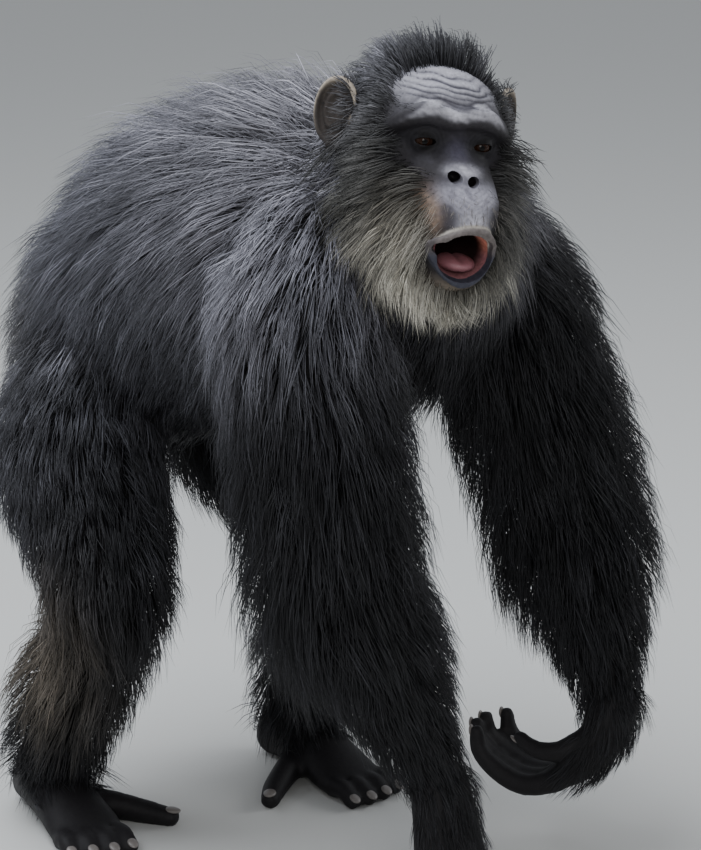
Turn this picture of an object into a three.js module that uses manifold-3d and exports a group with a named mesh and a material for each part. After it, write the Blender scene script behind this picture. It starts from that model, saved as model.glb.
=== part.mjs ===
// A life-size chimpanzee in mid-stride: both feet and the knuckles of the right hand are on the
// floor, the left hand is lifted with its wrist bent, and the mouth is open in a hoot.
// Millimetres, +Z up. The animal faces -Y, its left is +X, and the origin is on the floor under
// the middle of its outline. Each named mesh is one part of the body. The shaggy coat is made of
// flat, tapered locks that grow from the parts, over a core that holds the thick of the coat.

import * as THREE from "three";
import { mergeVertices } from "three/addons/utils/BufferGeometryUtils.js";
import Module from "manifold-3d";

const wasm = await Module();
wasm.setup();

// Driving dimensions

const GAP = 0.3; // between parts that touch
const SHORTEST_EDGE = 0.08;
const CUT_OVERLAP = 0.05; // how far a grown part reaches past the middle of a flat cut
const MIDDLE_OF_OUTLINE = [16, 17]; // where the origin is in the measures below: forward, left

// The pose: each joint's place, forward of the middle of the body, to its left, and up
const JOINTS = {
  right: {
    shoulder: [206, -150, 684],
    elbow: [258, -150, 410],
    wrist: [338, -84, 186],
    hip: [-185, -126, 450],
    knee: [-68, -188, 312],
    ankle: [-204, -163, 84],
  },
  left: {
    shoulder: [200, 142, 676],
    elbow: [250, 216, 408],
    wrist: [334, 204, 200],
    hip: [-172, 112, 450],
    knee: [-46, 152, 312],
    ankle: [-124, 160, 84],
  },
};
const HEAD_PLACE = { forward: 315, left: -64, up: 876 };
const HEAD_TURN = { yaw: -26, pitch: 3, roll: 6 }; // degrees
const EYE_RADIUS = 11;
const LID_THICKNESS = 2.6;
const FINGER_RADIUS = 12.5;
const TOE_RADIUS = 11;

// Points and turns

const { sin, cos, PI, min, max, hypot, abs } = Math;
const radians = (degrees) => (degrees * PI) / 180;

// A point so far forward, to the animal's left, and up.
function at(forward, left, up) {
  return new THREE.Vector3(left - MIDDLE_OF_OUTLINE[1], MIDDLE_OF_OUTLINE[0] - forward, up);
}

// A direction in the same measure.
const towards = (forward, left, up) => new THREE.Vector3(left, -forward, up);

// Repeatable draws between -1 and 1.
function draws(seed) {
  let state = seed;
  return () => {
    state = (state * 1664525 + 1013904223) % 4294967296;
    return (state / 4294967296) * 2 - 1;
  };
}

// Solids

function solid(geometry) {
  const bare = geometry.index ? geometry.toNonIndexed() : geometry;
  for (const name of ["normal", "uv"]) bare.deleteAttribute(name);
  const merged = mergeVertices(bare, 1e-4);
  const { Manifold, Mesh } = wasm;
  const made = new Manifold(
    new Mesh({
      numProp: 3,
      vertProperties: merged.attributes.position.array,
      triVerts: new Uint32Array(merged.index.array),
    }),
  );
  return made;
}

const joined = (solids) => solids.reduce((all, next) => all.add(next));

// Only the largest closed surface of a solid is kept.
function largest(made) {
  const bodies = made.decompose().filter((body) => body.volume() > 0);
  return bodies.reduce((a, b) => (a.volume() > b.volume() ? a : b));
}

// Closes up the edges that cuts leave much shorter than a gap. An edge is closed only where its
// two ends share just the two corners opposite to it, so that the surface stays one closed skin.
function withoutShortEdges({ vertProperties, triVerts }) {
  const places = Array.from({ length: vertProperties.length / 3 }, (_, i) =>
    new THREE.Vector3().fromArray(vertProperties, 3 * i),
  );
  const faces = Array.from({ length: triVerts.length / 3 }, (_, i) =>
    Array.from(triVerts.slice(3 * i, 3 * i + 3)),
  );
  const around = places.map(() => new Set());
  faces.forEach((face, i) => face.forEach((corner) => around[corner].add(i)));
  const neighbours = (corner) =>
    new Set([...around[corner]].flatMap((i) => faces[i]).filter((other) => other !== corner));
  const areaVector = ([a, b, c]) =>
    places[b].clone().sub(places[a]).cross(places[c].clone().sub(places[a]));
  const folds = (gone, kept) =>
    [...around[gone]].some((i) => {
      if (faces[i].includes(kept)) return false;
      const moved = faces[i].map((corner) => (corner === gone ? kept : corner));
      return areaVector(faces[i]).dot(areaVector(moved)) < 0;
    });
  const close = (kept, gone) => {
    for (const i of around[gone]) {
      if (faces[i].includes(kept)) {
        faces[i].forEach((corner) => corner !== gone && around[corner].delete(i));
        faces[i] = null;
      } else {
        faces[i] = faces[i].map((corner) => (corner === gone ? kept : corner));
        around[kept].add(i);
      }
    }
    around[gone].clear();
  };
  for (let closed = 1; closed > 0; ) {
    closed = 0;
    for (let i = 0; i < faces.length; i += 1) {
      for (let k = 0; faces[i] && k < 3; k += 1) {
        const [kept, gone] = [faces[i][k], faces[i][(k + 1) % 3]];
        if (places[kept].distanceTo(places[gone]) > SHORTEST_EDGE) continue;
        const shared = [...neighbours(kept)].filter((other) => neighbours(gone).has(other));
        const exact = places[kept].distanceTo(places[gone]) < SHORTEST_EDGE / 20;
        if (shared.length !== 2 || (!exact && folds(gone, kept))) continue;
        close(kept, gone);
        closed += 1;
      }
    }
  }
  const geometry = new THREE.BufferGeometry().setFromPoints(places);
  geometry.setIndex(faces.filter(Boolean).flat());
  return mergeVertices(geometry.toNonIndexed(), SHORTEST_EDGE / 100);
}

function ball(centre, radii, grow = 0, turn = new THREE.Matrix4(), across = 10, down = 6) {
  const geometry = new THREE.SphereGeometry(1, across, down);
  geometry.rotateX(PI / 2);
  geometry.scale(radii.left + grow, radii.forward + grow, radii.up + grow);
  geometry.applyMatrix4(turn);
  geometry.translate(centre.x, centre.y, centre.z);
  return solid(geometry);
}

// Closes rings of points, from the first pole to the last, into a geometry facing out.
function closedRings(rings, start, end) {
  const sides = rings[0].length;
  const points = [start, ...rings.flat(), end];
  const index = [];
  const ringPoint = (ring, side) => 1 + ring * sides + (side % sides);
  const last = points.length - 1;
  for (let j = 0; j < sides; j += 1) {
    index.push(0, ringPoint(0, j + 1), ringPoint(0, j));
    for (let i = 0; i + 1 < rings.length; i += 1) {
      const [a, b] = [ringPoint(i, j), ringPoint(i, j + 1)];
      const [c, d] = [ringPoint(i + 1, j), ringPoint(i + 1, j + 1)];
      index.push(a, b, c, b, d, c);
    }
    index.push(ringPoint(rings.length - 1, j), ringPoint(rings.length - 1, j + 1), last);
  }
  const geometry = new THREE.BufferGeometry().setFromPoints(points);
  geometry.setIndex(index);
  return geometry;
}

// A rounded length of body along a smooth line. Each station is an ellipse of skin across that
// line, wide from side to side and deep at right angles to it, then the length of the coat there,
// and how much longer the coat is on the front side, or on the back one where that is negative.
class Form {
  constructor(stations, { sides = 10, rings = 8, across = new THREE.Vector3(1, 0, 0) } = {}) {
    const smooth = (values) => new THREE.CatmullRomCurve3(values, false, "catmullrom", 0.5);
    this.line = new THREE.CatmullRomCurve3(stations.map(([place]) => place));
    this.sizes = smooth(stations.map(([, wide, deep]) => new THREE.Vector3(wide, deep, 0)));
    this.coats = smooth(
      stations.map(([, , , coat = 0, extra = 0]) => new THREE.Vector3(coat, extra, 0)),
    );
    Object.assign(this, { sides, rings, across });
  }

  frame(t) {
    const inside = min(max(t, 0), 1);
    const along = this.line.getTangent(inside);
    const side = this.across.clone().addScaledVector(along, -this.across.dot(along)).normalize();
    const front = along.clone().cross(side);
    const centre = this.line.getPoint(inside);
    const { x: wide, y: deep } = this.sizes.getPoint(inside);
    const { x: coat, y: extra } = this.coats.getPoint(inside);
    centre.addScaledVector(along, (t - inside) * this.speed(inside));
    return { centre, along, side, front, wide, deep, coat, extra };
  }

  // How many millimetres of the line one unit of t passes.
  speed(t) {
    const step = 0.01;
    const [from, to] = [max(t - step, 0), min(t + step, 1)];
    return this.line.getPoint(from).distanceTo(this.line.getPoint(to)) / (to - from);
  }

  coatLength({ coat, extra }, turn) {
    return coat + max(0, extra * sin(turn));
  }

  // A point of the skin, or so far above it, with the direction away from the skin.
  point(t, turn, height = 0) {
    const { centre, along, side, front, wide, deep } = this.frame(t);
    const out = side.clone().multiplyScalar(cos(turn) / wide);
    out.addScaledVector(front, sin(turn) / deep).normalize();
    centre.addScaledVector(side, wide * cos(turn)).addScaledVector(front, deep * sin(turn));
    return { place: centre.addScaledVector(out, height), out, along };
  }

  // Whether a place is inside the form, with this share of its coat.
  holds(place, share) {
    const steps = 24;
    return Array.from({ length: steps + 1 }, (_, i) => this.frame(i / steps)).some((frame) => {
      const away = place.clone().sub(frame.centre);
      const [x, y] = [away.dot(frame.side), away.dot(frame.front)];
      const coat = this.coatLength(frame, Math.atan2(y, x)) * share;
      const flat = abs(away.dot(frame.along)) < this.speed(0.5) / steps;
      return flat && hypot(x / (frame.wide + coat), y / (frame.deep + coat)) < 1;
    });
  }

  ring(frame, share, grow, scale = 1) {
    return Array.from({ length: this.sides }, (_, j) => {
      const turn = (2 * PI * j) / this.sides;
      const more = this.coatLength(frame, turn) * share + grow;
      const place = frame.centre.clone();
      place.addScaledVector(frame.side, (frame.wide + more) * scale * cos(turn));
      return place.addScaledVector(frame.front, (frame.deep + more) * scale * sin(turn));
    });
  }

  // A round end: its rings from the form outwards, and its pole.
  roundEnd(t, outwards, share, grow) {
    const frame = this.frame(t);
    const reach = min(frame.wide, frame.deep) * 0.8 + frame.coat * share + grow;
    const moved = (far) => frame.centre.clone().addScaledVector(frame.along, outwards * reach * far);
    const rings = (this.sides > 10 ? [40, 68] : [52]).map((angle) => {
      const turned = radians(angle);
      return this.ring({ ...frame, centre: moved(sin(turned)) }, share, grow, cos(turned));
    });
    return { rings, pole: moved(1) };
  }

  // The closed solid of the form, or of the length of it between two cuts, with this share of
  // its coat.
  solid({ share = 0, grow = 0, from = 0, to = 1 } = {}) {
    const body = [];
    const count = max(2, Math.round(this.rings * (to - from)));
    const inset = grow > 0 ? GAP / 2 - grow - CUT_OVERLAP : GAP / 2;
    const [first, last] = [
      from > 0 ? from + inset / this.speed(from) : 0,
      to < 1 ? to - inset / this.speed(to) : 1,
    ];
    for (let i = 0; i <= count; i += 1) {
      body.push(this.ring(this.frame(first + ((last - first) * i) / count), share, grow));
    }
    const start = from > 0 ? null : this.roundEnd(0, -1, share, grow);
    const end = to < 1 ? null : this.roundEnd(1, 1, share, grow);
    const rings = [...(start?.rings.reverse() ?? []), ...body, ...(end?.rings ?? [])];
    const poles = [start?.pole ?? this.frame(first).centre, end?.pole ?? this.frame(last).centre];
    return solid(closedRings(rings, ...poles));
  }
}

// Trunk and neck

// Forward and up along the spine's middle line, then the form's sizes
const TRUNK = [
  [-338, 492, 36, 38, 28],
  [-300, 526, 80, 78, 32, 6],
  [-215, 576, 110, 112, 34, 14],
  [-120, 630, 120, 130, 36, 28],
  [-40, 660, 130, 138, 38, 36],
  [40, 682, 138, 136, 40, 38],
  [130, 702, 138, 128, 42, 36],
  [205, 722, 120, 112, 38, 30],
  [252, 740, 86, 84, 32, 16],
];
const WAIST = 0.5; // where the hindquarters meet the chest
const trunkForm = new Form(
  TRUNK.map(([forward, up, ...sizes]) => [at(forward, 0, up), ...sizes]),
  { sides: 14, rings: 8 },
);
const neckForm = new Form(
  [
    [at(214, -8, 782), 78, 76, 36, 6],
    [at(250, -30, 830), 68, 68, 30],
    [at(276, -50, 864), 58, 56, 22],
  ],
  { sides: 12, rings: 3 },
);

// Limbs. Each row says how far along the limb's joints it is, then the form's sizes.

const ARM = [
  [0, 46, 54, 24],
  [1, 58, 68, 40],
  [1.34, 58, 66, 46],
  [1.7, 54, 60, 50],
  [2, 50, 54, 47, -18],
  [2.3, 50, 52, 34],
  [2.68, 40, 42, 19],
  [3, 31, 29, 11],
];
const ELBOW = 4 / 7; // where the upper arm meets the forearm
const THIGH = [
  [0, 66, 86, 26],
  [1, 70, 90, 31],
  [1.5, 58, 70, 31],
  [2, 46, 54, 30],
];
const SHIN = [
  [0, 38, 46, 28],
  [0.3, 38, 44, 36, -12],
  [0.66, 32, 36, 36, -8],
  [1, 25, 30, 32],
];

function limb(places, rows, options) {
  const along = (far) => {
    const i = min(Math.floor(far), places.length - 2);
    return places[i].clone().lerp(places[i + 1], far - i);
  };
  return new Form(
    rows.map(([far, ...sizes]) => [along(far), ...sizes]),
    options,
  );
}

function limbsOf(side, armRoot, legRoot) {
  const { shoulder, elbow, wrist, hip, knee, ankle } = JOINTS[side];
  const places = (...joints) => joints.map((joint) => at(...joint));
  return {
    arm: limb(places(armRoot, shoulder, elbow, wrist), ARM, { rings: 9 }),
    thigh: limb(places(legRoot, hip, knee), THIGH, { rings: 5 }),
    shin: limb(places(knee, ankle), SHIN, { rings: 5 }),
  };
}
const limbs = {
  right: limbsOf("right", [190, -108, 748], [-215, -84, 520]),
  left: limbsOf("left", [190, 100, 742], [-208, 84, 520]),
};

// Places in a foot or hand, so far forward, towards the midline, and up of its root.
function placer(root, heading, side) {
  const turned = radians(heading);
  const ahead = towards(cos(turned), side * sin(turned), 0);
  const inwards = towards(sin(turned), -side * cos(turned), 0);
  return (forward, inward, up) =>
    root.clone().addScaledVector(ahead, forward).addScaledVector(inwards, inward).add(towards(0, 0, up));
}

// A planted foot: heel and sole, four toes, and the great toe standing off to the inside.
function footForms(root, heading, side) {
  const place = placer(root, heading, side);
  const across = place(0, 1, 0).sub(place(0, 0, 0));
  const sole = new Form(
    [
      [place(-52, 0, 23), 26, 26],
      [place(-10, 0, 40), 34, 42],
      [place(50, 2, 29), 38, 31],
      [place(100, 4, 17), 44, 20],
      [place(122, 4, 12), 42, 15],
    ],
    { sides: 10, rings: 5, across },
  );
  const toes = [-30, -9, 13, 34].map((inward, i) => {
    const long = [34, 42, 46, 44][i];
    return new Form(
      [
        [place(118, inward, 13), 12, 13],
        [place(118 + long * 0.5, inward * 1.06, 17), TOE_RADIUS, TOE_RADIUS],
        [place(118 + long, inward * 1.1, 8), TOE_RADIUS - 1, TOE_RADIUS - 1.5],
      ],
      { sides: 6, rings: 2, across },
    );
  });
  const great = new Form(
    [
      [place(28, 22, 22), 18, 20],
      [place(56, 62, 18), 16, 17],
      [place(80, 94, 12), 14.5, 14],
      [place(100, 114, 9.5), 12, 11.5],
    ],
    { sides: 6, rings: 4, across },
  );
  return [sole, ...toes, great];
}

// A hand that walks on its knuckles: the fingers' middle joints are on the floor and the tips
// curl back under the palm.
function plantedHandForms(root, heading, side) {
  const place = placer(root, heading, side);
  const across = place(0, 1, 0).sub(place(0, 0, 0));
  const palm = new Form(
    [
      [place(-20, 2, 168), 34, 30],
      [place(-8, 0, 130), 40, 26],
      [place(2, -2, 92), 46, 23],
      [place(6, -2, 66), 45, 18],
    ],
    { sides: 10, rings: 4, across },
  );
  const fingers = [-36, -12, 12, 35].flatMap((inward, i) => {
    const reach = [26, 34, 34, 28][i];
    const toKnuckle = [
      [place(4, inward * 0.95, 72), 13, 14],
      [place(reach * 0.75, inward, 42), FINGER_RADIUS, FINGER_RADIUS],
      [place(reach, inward * 1.04, 13), FINGER_RADIUS, FINGER_RADIUS + 2],
    ];
    const toTip = [
      [place(reach - 2, inward * 1.04, 11), FINGER_RADIUS, FINGER_RADIUS],
      [place(reach - 34, inward * 1.02, 11), 11.5, 11.5],
      [place(reach - 60, inward * 0.98, 21), 8.5, 8.5],
    ];
    return [toKnuckle, toTip].map((rows) => new Form(rows, { sides: 5, rings: 2, across }));
  });
  const thumb = new Form(
    [
      [place(-16, 26, 128), 15, 15],
      [place(-26, 44, 96), 12, 12],
      [place(-28, 48, 68), 10, 10],
      [place(-22, 46, 50), 8, 8],
    ],
    { sides: 6, rings: 3, across },
  );
  return [palm, ...fingers, thumb];
}

// A lifted hand: the wrist is bent, so the palm hangs back and the fingers curl loosely.
function liftedHandForms(wrist, back, side) {
  const place = placer(wrist, back, side);
  const across = place(0, 1, 0).sub(place(0, 0, 0));
  const palm = new Form(
    [
      [place(8, 0, 10), 34, 30],
      [place(0, 0, -28), 40, 27],
      [place(-26, 0, -66), 46, 22],
      [place(-48, 0, -84), 45, 18],
    ],
    { sides: 10, rings: 4, across },
  );
  const fingers = [-35, -12, 12, 35].map((inward, i) => {
    const curl = [0.86, 1, 1, 0.9][i];
    return new Form(
      [
        [place(-44, inward * 0.95, -84), 13, 14],
        [place(-44 - 44 * curl, inward, -96), FINGER_RADIUS, FINGER_RADIUS],
        [place(-44 - 82 * curl, inward * 1.02, -84), 12, 12],
        [place(-44 - 108 * curl, inward * 1.02, -62), 10.5, 10.5],
        [place(-44 - 112 * curl, inward, -40), 8.5, 8.5],
      ],
      { sides: 5, rings: 4, across },
    );
  });
  const thumb = new Form(
    [
      [place(-10, 28, -30), 15, 15],
      [place(-42, 44, -46), 12, 12],
      [place(-72, 46, -44), 10, 10],
      [place(-88, 44, -34), 8, 8],
    ],
    { sides: 6, rings: 3, across },
  );
  return [palm, ...fingers, thumb];
}

const footSets = {
  right: footForms(at(-214, -164, 0), 18, -1),
  left: footForms(at(-128, 160, 0), -8, 1),
};
const handSets = {
  right: plantedHandForms(at(362, -80, 0), 4, -1),
  left: liftedHandForms(at(332, 202, 180), 18, 1),
};

// Head, in its own measure: forward, left and up of the middle of the skull

const headMatrix = new THREE.Matrix4()
  .makeRotationFromEuler(
    new THREE.Euler(radians(HEAD_TURN.pitch), radians(HEAD_TURN.roll), radians(HEAD_TURN.yaw), "ZXY"),
  )
  .setPosition(at(HEAD_PLACE.forward, HEAD_PLACE.left, HEAD_PLACE.up));
const headRotation = new THREE.Matrix4().extractRotation(headMatrix);
const inHead = (forward, left, up) => towards(forward, left, up).applyMatrix4(headMatrix);
const headAcross = towards(0, 1, 0).transformDirection(headMatrix);
const headUp = towards(0, 0, 1).transformDirection(headMatrix);

const EYE_AHEAD = 60;
const EYE_HALF = 31;
const EYE_UP = 0;
const eyePlace = (side) => inHead(EYE_AHEAD, side * EYE_HALF, EYE_UP);

const skullForm = new Form(
  [
    [inHead(-96, 0, -14), 34, 34, 18, 8],
    [inHead(-66, 0, -8), 62, 54, 12, 20],
    [inHead(-22, 0, 0), 74, 58, 8, 26],
    [inHead(22, 0, 2), 70, 56, 0, 8],
    [inHead(50, 0, 0), 58, 44],
  ],
  { sides: 14, rings: 6, across: headAcross },
);
const browForm = new Form(
  [
    [inHead(42, -60, 12), 9, 10],
    [inHead(61, -43, 26), 11, 12],
    [inHead(72, -20, 31), 11, 12],
    [inHead(74, 0, 28), 10, 11],
    [inHead(72, 20, 31), 11, 12],
    [inHead(61, 43, 26), 11, 12],
    [inHead(42, 60, 12), 9, 10],
  ],
  { sides: 6, rings: 10, across: headUp },
);
const muzzleForm = new Form(
  [
    [inHead(34, 0, -46), 58, 48],
    [inHead(62, 0, -56), 50, 47],
    [inHead(86, 0, -74), 43, 44],
    [inHead(104, 0, -94), 37, 38],
    [inHead(112, 0, -108), 33, 34],
  ],
  { sides: 12, rings: 5, across: headAcross },
);
const jawForm = new Form(
  [
    [inHead(-4, 0, -78), 56, 46],
    [inHead(42, 0, -112), 46, 38],
    [inHead(80, 0, -134), 36, 27],
    [inHead(98, 0, -140), 29, 20],
  ],
  { sides: 10, rings: 4, across: headAcross },
);
const noseForm = new Form(
  [
    [inHead(64, 0, -4), 12, 8],
    [inHead(80, 0, -20), 19, 11],
    [inHead(91, 0, -32), 22, 12],
  ],
  { sides: 8, rings: 3, across: headAcross },
);

// The lips: a rounded band round the open mouth, fuller below.
function lips(grow) {
  const steps = 14;
  const sides = 5;
  const rings = Array.from({ length: steps }, (_, i) => {
    const turn = (2 * PI * i) / steps;
    const thick = 6.5 + 1.2 * max(0, -sin(turn)) + grow;
    const out = towards(0, cos(turn), sin(turn));
    const middle = towards(120 + sin(turn), 26 * cos(turn), -115 + 25 * sin(turn));
    return Array.from({ length: sides }, (_, j) => {
      const angle = (2 * PI * j) / sides;
      const place = middle.clone().addScaledVector(out, thick * cos(angle));
      return place.addScaledVector(towards(1, 0, 0), thick * sin(angle)).applyMatrix4(headMatrix);
    });
  });
  const index = [];
  for (let i = 0; i < steps; i += 1) {
    for (let j = 0; j < sides; j += 1) {
      const [a, b] = [i * sides + j, i * sides + ((j + 1) % sides)];
      const [c, d] = [a, b].map((k) => (k + sides) % (steps * sides));
      index.push(a, c, b, b, c, d);
    }
  }
  const geometry = new THREE.BufferGeometry().setFromPoints(rings.flat());
  geometry.setIndex(index);
  return solid(geometry);
}

const mouthForm = new Form(
  [
    [inHead(144, 0, -119), 24, 23],
    [inHead(120, 0, -114), 21, 20],
    [inHead(96, 0, -107), 20, 17],
    [inHead(66, 0, -96), 13, 9],
  ],
  { sides: 10, rings: 4, across: headAcross },
);

function headFlesh(grow) {
  const cheeks = [-1, 1].map((side) =>
    ball(inHead(32, side * 43, -34), { left: 27, forward: 28, up: 40 }, grow, headRotation),
  );
  const lids = [-1, 1].map((side) => {
    const radius = EYE_RADIUS + LID_THICKNESS;
    return ball(eyePlace(side), { left: radius, forward: radius, up: radius }, grow, headRotation);
  });
  const orbits = ball(inHead(40, 0, 0), { left: 56, forward: 24, up: 34 }, grow, headRotation);
  const upperLip = ball(inHead(96, 0, -68), { left: 38, forward: 22, up: 26 }, grow, headRotation);
  const forms = [skullForm, browForm, muzzleForm, jawForm, noseForm].map((form) =>
    form.solid({ share: CORE_SHARE, grow }),
  );
  return joined([...forms, ...cheeks, orbits, upperLip, ...lids, lips(grow)]);
}

// The eye sockets with the slits between the lids, the nostrils and the mouth.
function headHollows(grow) {
  const sockets = [-1, 1].flatMap((side) => {
    const socket = ball(
      eyePlace(side),
      { left: EYE_RADIUS, forward: EYE_RADIUS, up: EYE_RADIUS },
      GAP + grow,
      headRotation,
    );
    const slit = ball(
      inHead(EYE_AHEAD + 9, side * (EYE_HALF + 1), EYE_UP),
      { left: 11.5, forward: 12, up: 4.6 },
      0,
      headRotation,
      8,
      4,
    );
    return [socket, slit];
  });
  const nostrils = [-1, 1].map((side) =>
    ball(inHead(102, side * 9, -37), { left: 5.5, forward: 10, up: 5 }, 0, headRotation, 6, 4),
  );
  return joined([...sockets, ...nostrils, mouthForm.solid({ grow })]);
}

const eye = (side) =>
  ball(
    eyePlace(side),
    { left: EYE_RADIUS, forward: EYE_RADIUS, up: EYE_RADIUS },
    0,
    headRotation,
  );

function tongue() {
  const body = ball(inHead(94, 0, -124), { left: 17, forward: 28, up: 12 }, 0, headRotation);
  return body.intersect(mouthForm.solid({ grow: -GAP }));
}

// An ear: a thick-rimmed cup that stands off the side of the head.
function ear(side, grow = 0) {
  const stand = new THREE.Matrix4().makeRotationZ(radians(side * 32));
  const turn = headRotation.clone().multiply(stand);
  const shell = ball(inHead(-38, side * 92, 0), { left: 9, forward: 27, up: 37 }, grow, turn, 12, 6);
  const cup = ball(inHead(-28, side * 101, 1), { left: 9, forward: 21, up: 30 }, -grow, turn);
  return shell.subtract(cup);
}

// The coat

const CORE_SHARE = 0.48; // how far the dense core reaches from the skin to the tips
const LOCK_STEPS = 3;
const LOCK_SHARES = [0.7, 1, 0.72]; // of a lock's width, from its root towards its tip
const LOCK_THICKNESS = 9;
const ROOT_SINK = 10; // how deep the roots lie in the core
const RISE = 0.62; // under 1, a lock rises to the tips of the coat soon after its root

// One flat, tapered lock along places that each have a direction away from the body. Grown, it
// keeps its gap on every side, also past its thin edges and its tip.
function lockSolid({ places, width }, grow) {
  const rings = places.slice(0, -1).map(({ place, out }, i) => {
    const next = places[i + 1].place.clone().sub(place).normalize();
    const side = next.clone().cross(out).normalize();
    const lift = side.clone().cross(next);
    const [half, thick] = [(width / 2) * LOCK_SHARES[i], LOCK_THICKNESS * LOCK_SHARES[i]];
    const reach = half + grow / Math.tan(Math.atan2(thick, half) / 2);
    const low = place.clone().addScaledVector(lift, -grow);
    const left = low.clone().addScaledVector(side, -reach);
    const right = low.clone().addScaledVector(side, reach);
    const ridge = place.clone().addScaledVector(lift, thick + 1.1 * grow);
    return [right, left, ridge];
  });
  const backwards = places[0].place.clone().sub(places[1].place).normalize();
  const onwards = places[LOCK_STEPS].place.clone().sub(places[LOCK_STEPS - 1].place).normalize();
  const root = rings[0].reduce((sum, p) => sum.add(p), new THREE.Vector3()).multiplyScalar(1 / 3);
  const tip = places[LOCK_STEPS].place.clone().addScaledVector(onwards, 14 * grow);
  return solid(closedRings(rings, root.addScaledVector(backwards, 4 * grow), tip));
}

// The places of a lock that follows a form's skin and rises to the tips of its coat.
function lockOn(form, { t, turn, lean, length, tip }) {
  const { wide, deep, coat: fringe } = form.frame(t);
  const radius = hypot(wide * sin(turn), deep * cos(turn)) + fringe;
  return Array.from({ length: LOCK_STEPS + 1 }, (_, i) => {
    const share = i / LOCK_STEPS;
    const along = t + (cos(lean) * length * share) / form.speed(min(max(t, 0), 1));
    const round = turn + (sin(lean) * length * share) / radius;
    const coat = form.coatLength(form.frame(along), round);
    const root = coat * CORE_SHARE - ROOT_SINK;
    return form.point(along, round, root + (coat * tip - root) * share ** RISE);
  });
}

// Rows of locks over a stretch of a form, staggered like shingles and varied a little. None
// grows where another form hides the skin.
function coatRows(form, seed, patch) {
  const draw = draws(seed);
  const { along, rows, turns, across, lie, length, width, tip = 1.12, hidden = [] } = patch;
  const locks = [];
  for (let i = 0; i < rows; i += 1) {
    for (let j = 0; j < across; j += 1) {
      const t = along[0] + ((along[1] - along[0]) * (i + 0.5 + 0.18 * draw())) / rows;
      const stagger = (i % 2) * 0.5 + 0.25 + 0.12 * draw();
      const turn = radians(turns[0] + ((turns[1] - turns[0]) * (j + stagger)) / across);
      const places = lockOn(form, {
        t,
        turn,
        lean: radians(lie(turn) + 12 * draw()),
        length: length * (1 + 0.16 * draw()),
        tip: tip * (1 + 0.14 * draw()),
      });
      if (hidden.some((other) => other.holds(places[1].place, 0.5))) continue;
      locks.push({ places, width: width * (1 + 0.15 * draw()) });
    }
  }
  return locks;
}

// A lock from a place, in a direction, that bends downwards towards its tip.
function freeLock({ root, direction, out, length, width, droop }) {
  const places = Array.from({ length: LOCK_STEPS + 1 }, (_, i) => {
    const share = i / LOCK_STEPS;
    const place = root.clone().addScaledVector(direction, length * share);
    return { place: place.add(towards(0, 0, -droop * share * share)), out };
  });
  return { places, width };
}

// The coat of the trunk lies back along the spine, and ever more downwards on the flanks. The
// coat of the limbs lies down them.
const trunkLie = (turn) => 180 + 58 * cos(turn);
const limbLie = () => 0;

const { right, left } = limbs;
const trunkCoat = { turns: [-48, 228], lie: trunkLie, width: 122, length: 150, tip: 1.24 };

// The chest's own rows, and the locks that hang down its front between the arms.
function chestCoat() {
  const rows = coatRows(trunkForm, 11, {
    ...trunkCoat,
    along: [WAIST + 0.03, 1.02],
    rows: 4,
    across: 5,
    hidden: [right.arm, left.arm, neckForm],
  });
  const draw = draws(16);
  const hanging = [-48, 0, 48, -26, 26].map((aside, i) =>
    freeLock({
      root: at(i < 3 ? 292 : 262, aside, i < 3 ? 712 : 652),
      direction: towards(0.22, 0.1 * draw(), -1).normalize(),
      out: towards(1, 0, 0.1),
      length: 104 + 10 * draw(),
      width: 66,
      droop: 8,
    }),
  );
  return [...rows, ...hanging];
}

const hindquartersCoat = () =>
  coatRows(trunkForm, 12, {
    ...trunkCoat,
    along: [0.06, WAIST + 0.01],
    rows: 3,
    across: 5,
    hidden: [right.thigh, left.thigh],
  });

function limbCoat(form, seed, along, rows, across, length, width) {
  const turns = [0, 360];
  const patch = { along, rows, turns, across, lie: limbLie, length, width, hidden: [trunkForm] };
  return coatRows(form, seed, patch);
}

// The thigh's coat ends in locks that hang over the knee.
function thighCoat(form, seed) {
  const knee = form.frame(1);
  const hanging = [-1, 0, 1].map((side) =>
    freeLock({
      root: knee.centre
        .clone()
        .addScaledVector(knee.side, side * 26)
        .addScaledVector(towards(1, 0, 0), 34),
      direction: towards(0.45, side * 0.12, -0.9).normalize(),
      out: towards(0.9, 0, 0.4),
      length: 84,
      width: 50,
      droop: 10,
    }),
  );
  return [...limbCoat(form, seed, [0.05, 1], 3, 4, 100, 94), ...hanging];
}

const neckCoat = () =>
  coatRows(neckForm, 13, {
    along: [0.5, 1],
    rows: 1,
    turns: [-60, 240],
    across: 5,
    lie: () => 180,
    length: 96,
    width: 84,
    tip: 1.3,
    hidden: [trunkForm, skullForm, jawForm],
  });

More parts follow.
